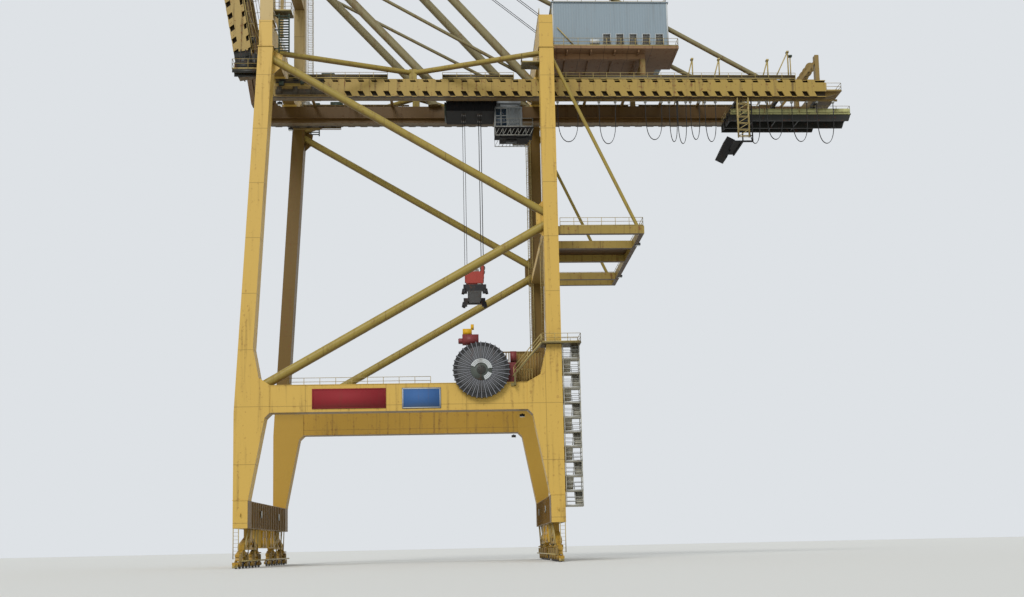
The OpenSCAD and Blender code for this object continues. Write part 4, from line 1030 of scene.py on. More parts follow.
# Machinery house: louvres, door, trims, vents and a wall unit
house = {"x0": 1.655, "x1": 2.925, "half": 0.4, "floor": 5.53, "top": 6.06,
         "louvreX": (2.245, 2.39, 2.535, 2.68, 2.825), "louvreWide": 0.078,
         "louvreLow": 5.575, "louvreHigh": 5.695, "slats": 7, "frame": 0.006,
         "door": (0.05, 5.63, 0.1, 0.2), "doorEdge": 0.014, "ventXs": (1.9, 2.3, 2.7), "ventY": 0.22}


def buildHouse(h):
    frames, slats, backs = [], [], []
    middle = (h["louvreLow"] + h["louvreHigh"]) / 2
    tall = h["louvreHigh"] - h["louvreLow"]
    for side in (-1, 1):
        y = side * (h["half"] + 0.002)
        for x in h["louvreX"]:
            # Painted shade: a dark sheet behind the slats for the unlit opening.
            backs.append((x, y, middle, h["louvreWide"], 0.004, tall))
            for dx in (-1, 1):
                frames.append((x + dx * (h["louvreWide"] / 2 + 0.003), y + side * 0.003, middle,
                               h["frame"], 0.01, tall + 0.012))
            for z in (h["louvreLow"] - 0.003, h["louvreHigh"] + 0.003):
                frames.append((x, y + side * 0.003, z, h["louvreWide"], 0.01, h["frame"]))
            for z in np.linspace(h["louvreLow"] + 0.012, h["louvreHigh"] - 0.01, h["slats"]):
                slats.append((x, y + side * 0.004, z, h["louvreWide"], 0.006, 0.003))
        for x in (h["x0"] + 0.006, h["x1"] - 0.006):
            frames.append((x, y, (h["floor"] + h["top"]) / 2, 0.014, 0.006, h["top"] - h["floor"]))
        frames.append(((h["x0"] + h["x1"]) / 2, y, h["floor"] + 0.012, h["x1"] - h["x0"], 0.006, 0.024))
        frames.append((2.11, y + side * 0.012, 5.6, 0.1, 0.03, 0.05))
    for side, x in ((-1, h["x0"]), (1, h["x1"])):
        y, z, wide, high = h["door"]
        frames.append((x + side * 0.003, y, z, 0.006, wide, high))
        backs.append((x + side * 0.006, y, z, 0.004, wide - h["doorEdge"], high - h["doorEdge"]))
    addPiece("house_louvre_backs", [boxes(backs)], finish["dark"], "portal")
    addPiece("house_trims", [boxes(frames)], finish["trim"], "portal")
    addPiece("house_slats", [boxes(slats)], finish["galvanised"], "portal")
    vent = turned([(0.03, 0), (0.03, 0.03), (0.05, 0.034), (0.05, 0.05), (0.012, 0.07)],
                  (0, 0, h["top"] + 0.007), (0, 0, 1), 16)
    vents = [repeated(vent, [(x, side * h["ventY"], 0) for x in h["ventXs"] for side in (-1, 1)])]
    addPiece("house_vents", vents, finish["galvanised"], "portal", True)


buildHouse(house)
print("house done")

# Cable reel: wound cable, hub and drive cover
reel = {"centre": (0.8, -1.07, 1.875), "inner": 0.236, "layers": 3, "layerStep": 0.0085,
        "laneReach": 0.0125, "cable": 0.0042, "backRadius": 0.232, "middleRadius": 0.105,
        "driveBoxes": [(0.7, -1.0, 2.19, 0.16, 0.05, 0.1), (0.7, -0.99, 1.95, 0.03, 0.03, 0.38),
                       (1.12, -0.98, 2.02, 0.06, 0.06, 0.1), (1.12, -0.98, 1.9, 0.03, 0.03, 0.16)],
        "motor": (0.58, -0.99, 2.18),
        "guide": [(0.67, -0.99, 2.27, 0.09, 0.04, 0.06), (0.72, -0.99, 2.32, 0.03, 0.03, 0.05)],
        "ribs": 36, "arcs": [(0.15, 2.75), (-1.25, -0.35)], "arcRadii": (0.074, 0.088, 0.102)}


def ringPath(centre, radius, out, angle):
    # Points round the reel's axle: x + radius * cos, y + out, z + radius * sin.
    return np.stack([centre[0] + radius * np.cos(angle), np.full_like(angle, centre[1] + out),
                     centre[2] + radius * np.sin(angle)], axis=1)


def buildReel(r):
    cx, cy, cz = r["centre"]
    rings = []
    for layer in range(r["layers"]):
        radius = r["inner"] + 0.004 + layer * r["layerStep"]
        for lane in np.linspace(-1, 1, 4):
            path = ringPath(r["centre"], radius, lane * r["laneReach"],
                            np.linspace(0, 2 * np.pi, 73))
            rings.append(tubeAlong(path, r["cable"], 6))
    addPiece("reel_cable", rings, finish["rubber"], "cable_reel", True)
    hub = turned([(0.036, -0.036), (0.046, -0.03), (0.046, 0.0), (0.04, 0.02), (0.04, 0.028)],
                 (cx, cy, cz), (0, 1, 0), 24)
    bolts = [turned([(0.005, 0), (0.005, 0.006)], (cx + 0.03 * math.cos(a), cy - 0.04,
                                                   cz + 0.03 * math.sin(a)), (0, 1, 0), 6)
             for a in np.arange(8) * math.pi / 4]
    addPiece("reel_hub", [hub] + bolts, finish["reelDark"], "cable_reel", True)
    backs, middles = [[turned([(radius, 0.0), (radius, 0.003)], (cx, cy + out, cz), (0, 1, 0),
                              sides) for out in outs]
                      for radius, outs, sides in ((r["backRadius"], (-0.019, 0.016), 48),
                                                  (r["middleRadius"], (-0.026, 0.023), 32))]
    addPiece("reel_backing", backs, finish["reelBack"], "cable_reel")
    addPiece("reel_middles", middles, finish["reelMiddle"], "cable_reel")
    angle = (np.arange(r["ribs"]) + 0.5) * 2 * np.pi / r["ribs"]
    ray = ringPath((0.0, 0.0, 0.0), 1.0, 0.0, angle)
    middle = np.array([cx, cy - 0.021, cz])
    ribs = bars(middle + ray * 0.1, middle + ray * r["inner"], flatProfile(0.004, 0.005))
    addPiece("reel_ribs", [ribs], finish["reel"], "cable_reel")
    arcs = []
    for first, last in r["arcs"]:
        for radius in r["arcRadii"]:
            path = ringPath(r["centre"], radius, -0.028, np.linspace(first, last, 22))
            arcs.append(tubeAlong(path, 0.008, 8))
    addPiece("reel_guide_arcs", arcs, finish["trim"], "cable_reel", True)
    motor = turned([(0.024, 0.0), (0.028, 0.01), (0.028, 0.08), (0.02, 0.09)], r["motor"],
                   (1, 0, 0), 14)
    drive = [boxes(r["driveBoxes"]), motor]
    addPiece("reel_motors", drive, finish["reelDrive"], "portal")
    addPiece("reel_cable_guide", [boxes(r["guide"])], finish["driveYellow"], "portal")


buildReel(reel)
print("reel done")

# Hoist ropes: eight falls that stretch between trolley and headblock
ropes = {"x": 0.76, "dx": (-0.09, 0.09), "dy": (-0.08, 0.08), "split": 0.012, "low": 3.21,
         "high": 4.93, "radius": 0.0028}


def buildRopes(r):
    spots = np.array([(r["x"] + dx + s, dy, 0) for dx in r["dx"] for dy in r["dy"]
                      for s in (-r["split"], r["split"])])
    heights = np.linspace(r["low"], r["high"], 34)
    path = np.stack([np.zeros_like(heights), np.zeros_like(heights), heights], axis=1)
    one = tubeAlong(path, r["radius"], 8)
    piece = addPiece("hoist_rope_falls", [repeated(one, spots)], finish["rope"], None,
                     True)
    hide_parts("hoist_ropes")
    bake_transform(piece)


buildRopes(ropes)
print("ropes done")

# Bogie gear: hubs, motors, pins, guard beams and the covers of the travel drives
gear = {"rail": 1.524, "face": 0.022, "corner": 0.69, "pitch": 0.14, "wheelZ": 0.034,
        "motorHigh": 0.085, "boxHalf": 0.05, "boxLow": 0.192, "boxHigh": 0.38,
        "boxMiddle": 0.195, "boxWide": 0.26, "guardZ": 0.072, "guardReach": 1.2,
        "guardSteps": 15, "sillClear": 0.17, "strutHigh": 0.383, "strutLow": 0.118}


def buildHubs(g):
    hubs, motors, cases = [], [], []
    cap = [(0.014, 0.0), (0.014, 0.004), (0.009, 0.007), (0.004, 0.008)]
    fins = [(0.015 if step % 2 else 0.0125, 0.006 * step) for step in range(12)]
    for side in (-1, 1):
        wheelYs = [end * g["corner"] + step * g["pitch"] for end in (-1, 1)
                   for step in np.arange(-3.5, 4)]
        for way in (-1, 1):
            x = side * g["rail"] + way * g["face"]
            one = turned(cap, (x, 0, g["wheelZ"]), (way, 0, 0), 12)
            hubs.append(repeated(one, [(0, y, 0) for y in wheelYs]))
        inner = side * (g["rail"] - g["face"] - 0.018)
        motorYs = wheelYs[::2]
        cases.append(boxes([(inner + side * 0.008, y, 0.042, 0.022, 0.036, 0.042) for y in motorYs]))
        cases.append(boxes([(inner, y, 0.062 + g["motorHigh"], 0.026, 0.02, 0.012) for y in motorYs]))
        barrel = turned(fins, (inner, 0, 0.066), (0, 0, 1), 12)
        motors.append(repeated(barrel, [(0, y, 0) for y in motorYs]))
    addPiece("wheel_hubs", hubs, finish["wheel"], "portal", True)
    addPiece("travel_motors", motors, finish["grimy"], "portal")
    addPiece("travel_gear_cases", cases, finish["cabinet"], "portal")


def buildPins(g):
    pins = []
    plate = [(0.02, 0.0), (0.02, 0.004), (0.012, 0.005), (0.012, 0.011), (0.009, 0.013)]
    spots = [(end * g["corner"], 0.237) for end in (-1, 1)]
    spots += [(end * g["corner"] + step * g["pitch"] * 2, 0.15) for end in (-1, 1) for step in (-1, 1)]
    for side in (-1, 1):
        for way in (-1, 1):
            one = turned(plate, (side * g["rail"] + way * (g["face"] + 0.008), 0, 0), (way, 0, 0), 14)
            pins.append(repeated(one, [(0, y, z) for y, z in spots]))
    addPiece("bogie_pins", pins, finish["bogie"], "portal", True)


def buildGuards(g):
    guards, braces = [], []
    reach, z = g["guardReach"], g["guardZ"]
    held = [y for y in np.linspace(-reach, reach, g["guardSteps"]) if abs(y) > g["sillClear"]]
    for side in (-1, 1):
        x = side * (g["rail"] - 0.058)
        inner = side * (g["rail"] - g["face"])
        guards.append(bars([(x, -reach, z)], [(x, reach, z)], flatProfile(0.006, 0.014)))
        guards.append(bars([(inner, y, z) for y in held], [(x, y, z) for y in held],
                           flatProfile(0.008, 0.004)))
        for end in (-1, 1):
            for step in (-1.6, -0.7, 0.7, 1.6):
                y = end * g["corner"] + step * g["pitch"]
                braces.append(bars([(side * (g["rail"] - 0.05), y, g["strutHigh"])],
                                   [(inner - side * 0.004, y + step * 0.05, g["strutLow"])],
                                   flatProfile(0.01, 0.008)))
            guards.append(boxes([(side * g["rail"], end * 1.233, 0.022, 0.05, 0.004, 0.03)]))
    addPiece("bogie_guard_beams", guards, finish["railing"], "portal")
    addPiece("bogie_struts", braces, finish["railing"], "portal")


def buildDriveCovers(g):
    sheets, slats, handles = [], [], []
    middle, tall = (g["boxLow"] + g["boxHigh"]) / 2, g["boxHigh"] - g["boxLow"] - 0.016
    for side in (-1, 1):
        for way in (-1, 1):
            x = side * g["rail"] + way * (g["boxHalf"] + 0.003)
            for end in (-1, 1):
                y = end * g["boxMiddle"]
                for shift in (-1, 1):
                    panel = y + shift * g["boxWide"] / 4
                    sheets.append((x, panel, middle, 0.006, g["boxWide"] / 2 - 0.01, tall))
                    handles.append((x + way * 0.005, panel + shift * 0.045, middle, 0.006, 0.006, 0.03))
                    for z in np.linspace(middle + 0.015, middle + 0.065, 6):
                        slats.append((x + way * 0.004, panel, z, 0.004, 0.08, 0.004))
    addPiece("drive_covers", [boxes(sheets)], finish["driveYellow"], "portal")
    addPiece("drive_louvres", [boxes(slats)], finish["grimy"], "portal")
    addPiece("drive_handles", [boxes(handles)], finish["galvanised"], "portal")


sillAccess = {"ladderX": 1.56, "ladderY": 1.05, "low": 0.09, "high": 0.385, "tieZ": 0.13,
              "tieX": 1.54, "hatch": (1.443, 0.45, 0.53)}


def buildSillAccess(a):
    shapes, plates = [], []
    hatchX, hatchY, hatchZ = a["hatch"]
    for side in (-1, 1):
        for end in (-1, 1):
            x, y = side * a["ladderX"], end * a["ladderY"]
            shapes += ladder((x, y, a["low"]), (x, y, a["high"]), 0.05, (1.0, 0.0, 0.0))
            shapes.append(bars([(x, y, a["tieZ"])], [(side * a["tieX"], y, a["tieZ"])],
                               flatProfile(0.008, 0.008)))
            plates.append((side * hatchX, end * hatchY, hatchZ, 0.004, 0.05, 0.07))
    addPiece("sill_ladders", shapes, finish["railing"], "portal")
    addPiece("sill_hatches", [boxes(plates)], finish["galvanised"], "portal")


buildHubs(gear)
buildPins(gear)
buildGuards(gear)
buildDriveCovers(gear)
buildSillAccess(sillAccess)
print("bogie gear done")

# Cab: glass with mullions, ribbed wall, railing, and gear below the floor
cab = {"x0": 1.02, "x1": 1.32, "half": 0.11, "low": 4.755, "high": 5.01, "glassEnd": 1.15,
       "decking": 4.755, "deckX0": 1.015, "deckX1": 1.44, "deckHalf": 0.16, "ribPitch": 0.021,
       "bay": 0.042, "trussDeep": 0.092}


def buildCab(c):
    panes, mullions, ribs, frames = [], [], [], []
    tall, middle = c["high"] - c["low"], (c["high"] + c["low"]) / 2
    wide, glassX = c["glassEnd"] - c["x0"], (c["x0"] + c["glassEnd"]) / 2
    barTall, wideWall = tall - 0.03, c["x1"] - c["x0"] + 0.004
    for side in (-1, 1):
        y = side * (c["half"] + 0.002)
        panes.append((glassX, y, middle, wide - 0.012, 0.004, tall - 0.05))
        for x in (c["x0"] + 0.004, glassX, c["glassEnd"]):
            mullions.append((x, y + side * 0.002, middle, 0.008, 0.006, barTall))
        for z in (c["low"] + 0.02, middle + 0.02, c["high"] - 0.02):
            mullions.append((glassX, y + side * 0.002, z, wide, 0.006, 0.008))
        for x in np.arange(c["glassEnd"] + 0.02, c["x1"] - 0.004, c["ribPitch"]):
            ribs.append((x, y, middle, 0.009, 0.006, barTall))
        frames.append(((c["x0"] + c["x1"]) / 2, y, c["high"] - 0.008, wideWall, 0.008, 0.016))
    front = c["x0"] - 0.002
    panes.append((front, 0, middle, 0.004, 2 * c["half"] - 0.02, tall - 0.05))
    for y in np.linspace(-c["half"] + 0.006, c["half"] - 0.006, 5):
        mullions.append((front - 0.002, y, middle, 0.006, 0.007, barTall))
    for z in (c["low"] + 0.02, c["low"] + 0.09, c["high"] - 0.02):
        mullions.append((front - 0.002, 0, z, 0.006, 2 * c["half"], 0.008))
    back = c["x1"] + 0.002
    frames += [(back, 0.03, 4.86, 0.005, 0.09, 0.19), (back, -0.06, 4.93, 0.005, 0.05, 0.05)]
    unit = [(1.2, 0.0, c["high"] + 0.014, 0.1, 0.13, 0.028),
            (1.07, 0.05, c["high"] + 0.006, 0.04, 0.04, 0.012)]
    addPiece("cab_panes", [boxes(panes)], finish["glass"], "trolley")
    addPiece("cab_window_bars", [boxes(mullions)], finish["trim"], "trolley")
    addPiece("cab_wall_ribs", [boxes(ribs + frames)], finish["cab"], "trolley")
    addPiece("cab_roof_units", [boxes(unit)], finish["trim"], "trolley")


def buildCabDeck(c):
    h, z = c["deckHalf"] - 0.005, c["decking"]
    x0, x1 = c["deckX0"] + 0.004, c["deckX1"] - 0.005
    shapes = railing([(x0, h, z), (x1, h, z), (x1, -h, z), (x0, -h, z)], 0.1)
    xs = np.arange(x0, x1 - 0.02, c["bay"])
    under = z - c["trussDeep"]
    for y in (-h, h):
        low = [(x, y, z - 0.09) for x in xs]
        high = [(x + c["bay"], y, z - 0.012) for x in xs]
        shapes.append(bars(low, high, flatProfile(0.004, 0.004)))
        shapes.append(bars([(x0, y, under)], [(x1 - 0.03, y, under)], flatProfile(0.006, 0.006)))
        shapes.append(bars([(x, y, under) for x in xs[::2]], [(x, y, z - 0.01) for x in xs[::2]],
                           flatProfile(0.004, 0.004)))
    addPiece("cab_deck_railing", shapes, finish["galvanised"], "trolley")
    gearRows = [(1.12, side * 0.083, 4.7, 0.06, 0.012, 0.05) for side in (-1, 1)]
    gearRows += [(1.3, side * 0.086, 4.69, 0.09, 0.018, 0.04) for side in (-1, 1)]
    gearRows += [(1.39, 0.0, 4.7, 0.03, 0.1, 0.06), (1.2, 0.0, 4.655, 0.12, 0.08, 0.012)]
    addPiece("cab_deck_gear", [boxes(gearRows)], finish["dark"], "trolley")


buildCab(cab)
buildCabDeck(cab)
print("cab done")

# Trolley machinery: rope sheaves, wall stiffeners, cabinets and rope guides
trolleyGear = {"half": 0.17, "low": 4.93, "high": 5.069, "sheaveZ": 5.105,
               "sheaveXs": (0.56, 0.64, 0.88, 0.96), "sheaveYs": (-0.11, -0.04, 0.04, 0.11)}


def buildTrolleyGear(t):
    groove = grooveProfile(0.03, 0.024, 0.011, 0.009, 0.004)
    sheaves = [turned(groove, (x, y, t["sheaveZ"]), (0, 1, 0), 20)
               for x in t["sheaveXs"] for y in t["sheaveYs"]]
    addPiece("trolley_sheaves", sheaves, finish["wheel"], "trolley", True)
    stiff, rows = [], []
    for side in (-1, 1):
        y = side * (t["half"] + 0.003)
        tall = t["high"] - t["low"] - 0.01
        stiff += [(x, y, 5.0, 0.008, 0.006, tall) for x in np.linspace(0.5, 0.99, 8)]
        stiff += [(0.745, y, z, 0.52, 0.008, 0.008) for z in (t["low"] + 0.006, t["high"] - 0.006)]
        rows += [(x, side * 0.12, t["high"] + 0.02, 0.05, 0.05, 0.04) for x in (0.76, 0.82)]
    rows += [(0.47, 0.0, 4.99, 0.02, 0.3, 0.1), (0.76, 0.0, t["high"] + 0.03, 0.1, 0.09, 0.05)]
    addPiece("trolley_stiffeners", [boxes(stiff)], finish["trolley"], "trolley")
    addPiece("trolley_cabinets", [boxes(rows)], finish["ladderGreen"], "trolley")
    floor = t["low"] - 0.001
    opening = [(x, y, floor, 0.05, 0.06, 0.004) for x in (0.67, 0.85) for y in (-0.08, 0.08)]
    addPiece("trolley_rope_guides", [boxes(opening)], finish["wheel"], "trolley")


buildTrolleyGear(trolleyGear)
print("trolley gear done")

# Girder tops: rope stands, cable trays, cabinets and a bundle of conduits near the hinge
girderGear = {"y": 0.372, "foot": 5.19,
              "stands": [(3.12, 3.184, 5.43), (3.41, 3.48, 5.43), (3.95, 4.02, 5.42),
                         (4.09, 4.249, 5.515)],
              "boxes": [(-0.78, 0.34, 5.232, 0.14, 0.05, 0.072), (-1.0, 0.34, 5.225, 0.06, 0.05, 0.058),
                        (-0.55, 0.34, 5.22, 0.05, 0.04, 0.048), (0.62, 0.34, 5.222, 0.08, 0.05, 0.052),
                        (-1.27, 0.405, 5.13, 0.05, 0.014, 0.05),
                        (-1.05, 0.405, 5.14, 0.035, 0.014, 0.04)],
              "lampPost": (4.275, 5.457),
              "trays": [(-1.15, 0.05), (0.45, 1.4), (1.65, 2.58), (2.7, 3.9), (4.12, 4.3)],
              "trayY": 0.285, "pipeShifts": (-0.007, 0.0, 0.007), "pipeDrops": (0.018, 0.034, 0.05),
              "ducts": [(-1.2, -0.14), (0.45, 1.22), (1.64, 4.32)],
              "root": {"x0": -1.33, "x1": -0.74, "y": 0.414, "levels": (4.982, 4.996, 5.072, 5.088),
                       "boxes": (-1.29, -1.12, -0.93, -0.79)},
              "edge": {"y": -0.171, "x0": 3.66, "x1": 4.98, "hangers": 0.22, "panels": 0.195},
              "ladderFrame": {"x0": 3.665, "x1": 3.785, "y0": -0.372, "y1": -0.346, "low": 4.545,
                              "high": 4.994, "step": 0.074}}


def buildGirderGear(g):
    stands, trays, cabinets, pipes, sheaves = [], [], [], [], []
    groove = [(0.016, -0.006), (0.012, -0.001), (0.012, 0.001), (0.016, 0.006)]
    for side in (-1, 1):
        y = side * g["y"]
        for foot, top, high in g["stands"]:
            stands.append(bars([(top, y, g["foot"]), (foot, y, g["foot"])],
                               [(top, y, high), (top, y, high)], flatProfile(0.012, 0.012)))
            stands.append(boxes([(top, y, high, 0.026, 0.02, 0.02)]))
            sheaves.append(turned(groove, (top, y - side * 0.018, high), (0, 1, 0), 14))
        post, high = g["lampPost"]
        stands.append(bars([(post, y, g["foot"])], [(post, y, high)], flatProfile(0.01, 0.01)))
        cabinets.append((post, y, high + 0.008, 0.04, 0.03, 0.02))
        trayY, pipeZ = side * g["trayY"], g["foot"] + 0.021
        for x0, x1 in g["trays"]:
            trays.append(((x0 + x1) / 2, trayY, g["foot"] + 0.016, x1 - x0, 0.024, 0.004))
            for x in np.arange(x0 + 0.03, x1, 0.11):
                trays.append((x, trayY, g["foot"] + 0.007, 0.01, 0.02, 0.014))
        for shift in g["pipeShifts"]:
            pipes.append(bars([(x0, trayY + shift, pipeZ) for x0, x1 in g["trays"]],
                              [(x1, trayY + shift, pipeZ) for x0, x1 in g["trays"]],
                              roundProfile(0.003, 6)))
        for drop in g["pipeDrops"]:
            z = g["foot"] - drop
            pipes.append(bars([(-1.33, side * 0.403, z)], [(-0.82, side * 0.403, z)],
                              roundProfile(0.0055, 6)))
        cabinets += [(row[0], side * row[1], *row[2:]) for row in g["boxes"]]
    addPiece("rope_stands", stands, finish["railing"], "portal")
    rootTrays, rootPipes = [], []
    root = g["root"]
    for side in (-1, 1):
        rootTrays.append((-1.035, side * 0.412, 5.03, 0.59, 0.012, 0.06))
        rootTrays += [(x, side * 0.416, 5.045, 0.05, 0.02, 0.085) for x in root["boxes"]]
        y = side * root["y"]
        for z in root["levels"]:
            rootPipes.append(bars([(root["x0"], y, z)], [(root["x1"], y, z)],
                                  roundProfile(0.0045, 6)))
    addPiece("girder_root_trays", [boxes(rootTrays)], finish["duct"], "portal")
    addPiece("girder_root_pipes", rootPipes, finish["grimy"], "portal", True)
    addPiece("rope_stand_sheaves", sheaves, finish["wheel"], "portal", True)
    addPiece("cable_trays", [boxes(trays)], finish["grimy"], "portal")
    addPiece("girder_conduits", pipes, finish["rubber"], "portal", True)
    addPiece("girder_cabinets", [boxes(cabinets)], finish["ladderGreen"], "portal")
    ducts = [((x0 + x1) / 2, side * 0.379, g["foot"] + 0.03, x1 - x0, 0.006, 0.05)
             for side in (-1, 1) for x0, x1 in g["ducts"]]
    ducts += [(x, side * 0.374, g["foot"] + 0.03, 0.006, 0.006, 0.056) for side in (-1, 1)
              for x0, x1 in g["ducts"] for x in np.arange(x0 + 0.02, x1, 0.1385)]
    addPiece("girder_edge_ducts", [boxes(ducts)], finish["duct"], "portal")
    units = [(-1.13, side * 0.34, 5.235, 0.09, 0.05, 0.075) for side in (-1, 1)]
    addPiece("girder_grey_units", [boxes(units)], finish["galvanised"], "portal")


def buildHungEdge(e):
    # Hangers, one long strip and a row of panels on the near edge of the hung platform.
    rows = [(x, e["y"], 4.898, 0.006, 0.008, 0.02) for x in np.arange(e["x0"], e["x1"], e["hangers"])]
    rows.append((4.32, e["y"] + 0.003, 4.9, 1.36, 0.004, 0.014))
    rows += [(x + 0.1, e["y"] + 0.008, 4.937, 0.185, 0.003, 0.05)
             for x in np.arange(3.64, 4.9, e["panels"])]
    addPiece("hung_platform_edge", [boxes(rows)], finish["hungPanel"], "portal")


def buildHungLadder(f):
    # Four posts with rungs along X, ties along Y at each level, and slanting bars on one face.
    corners = [(x, y) for x in (f["x0"], f["x1"]) for y in (f["y0"], f["y1"])]
    posts = bars([(x, y, f["low"]) for x, y in corners], [(x, y, f["high"]) for x, y in corners],
                 flatProfile(0.009, 0.009))
    thin = flatProfile(0.006, 0.006)
    levels = np.arange(f["low"] + 0.01, f["high"] - 0.02, f["step"])
    rungs = bars([(f["x0"], y, z) for y in (f["y0"], f["y1"]) for z in levels],
                 [(f["x1"], y, z) for y in (f["y0"], f["y1"]) for z in levels], thin)
    ties = bars([(x, f["y0"], z) for x in (f["x0"], f["x1"]) for z in levels],
                [(x, f["y1"], z) for x in (f["x0"], f["x1"]) for z in levels], thin)
    slants = bars([(f["x0"], f["y0"], z) for z in levels[:-1]],
                  [(f["x1"], f["y0"], z + f["step"]) for z in levels[:-1]], thin)
    addPiece("hung_ladder_frame", [posts, rungs, ties, slants], finish["railing"], "portal")


buildGirderGear(girderGear)
buildHungEdge(girderGear["edge"])
buildHungLadder(girderGear["ladderFrame"])
print("girder gear done")

# Hinge platforms, tower racks and landings, and the platforms at the leg tops
access = {"hinge": {"x0": -1.75, "x1": -1.42, "in": 0.475, "out": 0.575, "z": 5.205, "high": 0.11,
                    "pipes": 4, "pipeX": -1.7, "pipeStep": 0.05, "pipeHigh": 0.26},
          "rack": {"x": -1.13, "y": 1.0, "low": 5.16, "high": 5.57, "wide": 0.1, "pitch": 0.028,
                   "ties": (5.2, 5.4, 5.55), "tieX": -1.226},
          "landing": {"x0": -1.23, "x1": -1.06, "in": 0.86, "out": 1.0, "z": 5.605},
          "legTop": {"x0": 1.27, "x1": 1.45, "in": 0.88, "out": 1.03, "z": 5.05}}


def buildAccess(a):
    floors, rails, panels, racks = [], [], [], []
    h = a["hinge"]
    midX = (h["x0"] + h["x1"]) / 2
    floors.append(landingFloor(h))
    rails += railing([(h["x1"], h["out"], h["z"]), (h["x0"], h["out"], h["z"]),
                      (h["x0"], h["in"], h["z"])], h["high"])
    panels.append(boxes([(midX - 0.04, h["out"] - 0.006, h["z"] + 0.045, 0.2, 0.003, 0.07),
                         (-1.62, h["in"] + 0.03, h["z"] + 0.06, 0.08, 0.04, 0.11),
                         (-1.53, h["in"] + 0.03, h["z"] + 0.1, 0.05, 0.04, 0.19),
                         (midX, h["in"] + 0.004, h["z"] - 0.02, h["x1"] - h["x0"], 0.008, 0.034),
                         (midX, h["out"] - 0.004, h["z"] - 0.02, h["x1"] - h["x0"], 0.008, 0.034)]))
    pipeXs = [h["pipeX"] + h["pipeStep"] * n for n in range(h["pipes"])]
    pipeY = h["in"] + 0.012
    panels.append(bars([(x, pipeY, h["z"]) for x in pipeXs],
                       [(x + 0.02, pipeY, h["z"] + h["pipeHigh"]) for x in pipeXs],
                       roundProfile(0.006, 6)))
    r = a["rack"]
    half = r["wide"] / 2
    racks.append(bars([(r["x"] - half, r["y"], r["low"]), (r["x"] + half, r["y"], r["low"])],
                      [(r["x"] - half, r["y"], r["high"]), (r["x"] + half, r["y"], r["high"])],
                      flatProfile(0.008, 0.014)))
    levels = np.arange(r["low"] + 0.02, r["high"], r["pitch"])
    racks.append(boxes([(r["x"], r["y"], z, r["wide"], 0.016, 0.007) for z in levels]))
    racks.append(bars([(r["x"] - half, r["y"], z) for z in r["ties"]],
                      [(r["tieX"], r["y"], z) for z in r["ties"]], flatProfile(0.01, 0.01)))
    g = a["landing"]
    floors.append(landingFloor(g))
    rails += railing([(g["x0"], g["out"], g["z"]), (g["x1"], g["out"], g["z"]),
                      (g["x1"], g["in"], g["z"])])
    t = a["legTop"]
    floors.append(landingFloor(t))
    rails += railing([(t["x1"], t["out"], t["z"]), (t["x0"], t["out"], t["z"]), (t["x0"], t["in"], t["z"]),
                      (t["x1"], t["in"], t["z"])])
    addPiece("access_floors", bothSides(floors), finish["olive"], "portal")
    addPiece("access_railings", bothSides(rails), finish["railing"], "portal")
    addPiece("hinge_platform_gear", bothSides(panels), finish["hung"], "portal")
    addPiece("tower_racks", bothSides(racks), finish["ladderGreen"], "portal")


buildAccess(access)
print("access platforms done")

# Boom hoist ropes from the apex sheaves to the front of the house, and the slots that they enter
hoistRopes = {"apexX": -1.27, "apexZ": 8.3, "houseX": 1.66, "houseZ": 5.93,
              "ys": (-0.2, -0.16, 0.16, 0.2), "rope": 0.0035}


def buildBoomHoist(h):
    ends = [(h["houseX"], y, h["houseZ"]) for y in h["ys"]]
    starts = [(h["apexX"], y, h["apexZ"]) for y in h["ys"]]
    addPiece("boom_hoist_ropes", [bars(starts, ends, roundProfile(h["rope"], 8))], finish["rope"],
             "portal", True)
    # Painted shade: dark boxes for the openings where the ropes enter the house.
    slots = [(h["houseX"] - 0.008, side * 0.18, h["houseZ"], 0.01, 0.09, 0.05) for side in (-1, 1)]
    addPiece("rope_slots", [boxes(slots)], finish["dark"], "portal")
    groove = grooveProfile(0.05, 0.042, 0.014, 0.011, 0.004)
    wheels = [turned(groove, (h["apexX"] - 0.045, y, h["apexZ"] - 0.05), (0, 1, 0), 24)
              for y in h["ys"]]
    addPiece("apex_rope_wheels", wheels, finish["wheel"], "portal", True)
    strut = bars([(1.704, -0.412, 5.768)], [(1.885, -0.412, 5.563)], flatProfile(0.006, 0.01))
    addPiece("house_wall_strut", [strut], finish["railing"], "portal")


buildBoomHoist(hoistRopes)
print("boom hoist ropes done")

# Cabinet ribs and the fence beside the flight
fence = {"x0": 1.0, "x1": 1.405, "y": 0.888, "low": 1.79, "high": 2.085, "pitch": 0.027}


def buildCabinet(c):
    xs = np.arange(c["x0"], c["x1"], c["pitch"])
    rows = [(x, -c["y"], (c["low"] + c["high"]) / 2, 0.01, 0.008, c["high"] - c["low"]) for x in xs]
    rows += [((c["x0"] + c["x1"]) / 2, -c["y"], z, c["x1"] - c["x0"], 0.012, 0.012)
             for z in (c["low"], c["high"])]
    addPiece("cabinet_ribs", [boxes(rows)], finish["grimy"], "portal")
    fenceXs = np.arange(1.15, 1.3, 0.03)
    posts = [(x, -1.0, 1.765) for x in fenceXs]
    tops = [(x, -1.0, 1.89) for x in fenceXs]
    addPiece("cabinet_fence", [bars(posts, tops, roundProfile(0.003, 6)),
                               bars([(1.14, -1.0, 1.89)], [(1.3, -1.0, 1.89)], roundProfile(0.004, 6))],
             finish["railing"], "portal")


buildCabinet(fence)

# Headblock wheels, cable basket, and the spreader's locks, corner guides and power unit
lift = {"x": 0.76, "block": 3.185, "basket": 3.14, "frame": 2.95, "lockX": 0.108, "lockY": 0.283,
        "turns": 5, "coil": 0.035, "lay": 0.009, "cable": 0.0045}


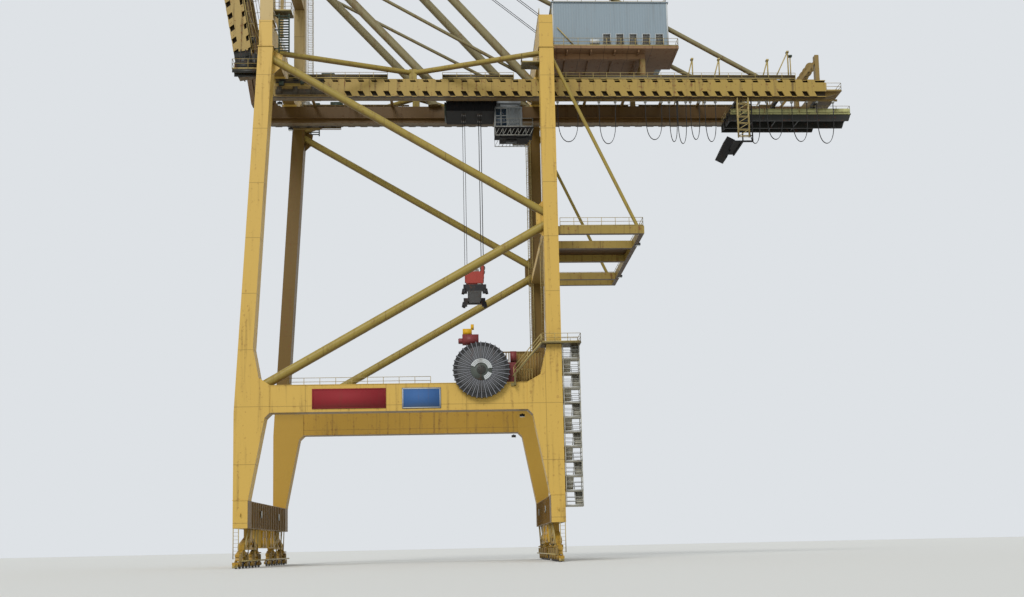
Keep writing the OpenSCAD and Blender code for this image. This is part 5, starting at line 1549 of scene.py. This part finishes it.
def buildLift(f):
    groove = grooveProfile(0.03, 0.023, 0.01, 0.008, 0.003)
    wheels = [turned(groove, (f["x"] + dx, dy, f["block"]), (0, 1, 0), 20)
              for dx in ropes["dx"] for dy in ropes["dy"]]
    addPiece("headblock_wheels", wheels, finish["wheel"], "spreader", True)
    coil = []
    angle = np.linspace(0, 2 * np.pi, 33)
    for turn in range(f["turns"]):
        level = f["basket"] + 0.008 + turn * f["lay"]
        path = np.stack([f["x"] + f["coil"] * np.cos(angle), f["coil"] * np.sin(angle),
                         np.full_like(angle, level)], axis=1)
        coil.append(tubeAlong(path, f["cable"], 6, (0, 0, 1)))
    addPiece("spreader_cable_turns", coil, finish["rubber"], "spreader", True)
    ring = [(0.052, 0.0), (0.052, 0.05), (0.048, 0.05), (0.048, 0.002)]
    basket = turned(ring, (f["x"], 0, f["basket"]), (0, 0, 1), 20)
    addPiece("cable_basket", [basket], finish["galvanised"], "spreader",
             True)
    locks, guides = [], []
    cone = [(0.003, -0.03), (0.009, -0.016), (0.009, -0.01), (0.005, -0.008), (0.005, 0.0)]
    for dx in (-1, 1):
        for dy in (-1, 1):
            x, y = f["x"] + dx * f["lockX"], dy * f["lockY"]
            locks.append(turned(cone, (x, y, 2.874), (0, 0, 1), 12))
            guides.append(bars([(x, y + dy * 0.016, 2.9)], [(x + dx * 0.012, y + dy * 0.034, 2.84)],
                               flatProfile(0.034, 0.006)))
            guides.append(bars([(x + dx * 0.01, y, 2.9)], [(x + dx * 0.022, y - dy * 0.006, 2.84)],
                               flatProfile(0.006, 0.03)))
    addPiece("twistlocks", locks, finish["wheel"], "spreader", True)
    addPiece("corner_guides", guides, finish["spreader"], "spreader")
    rows = [(f["x"] - 0.05, 0.15, f["frame"] + 0.02, 0.05, 0.07, 0.04),
            (f["x"] + 0.05, -0.15, f["frame"] + 0.018, 0.04, 0.06, 0.035)]
    addPiece("spreader_power_unit", [boxes(rows)], finish["galvanised"], "spreader")


buildLift(lift)
print("lifting gear done")
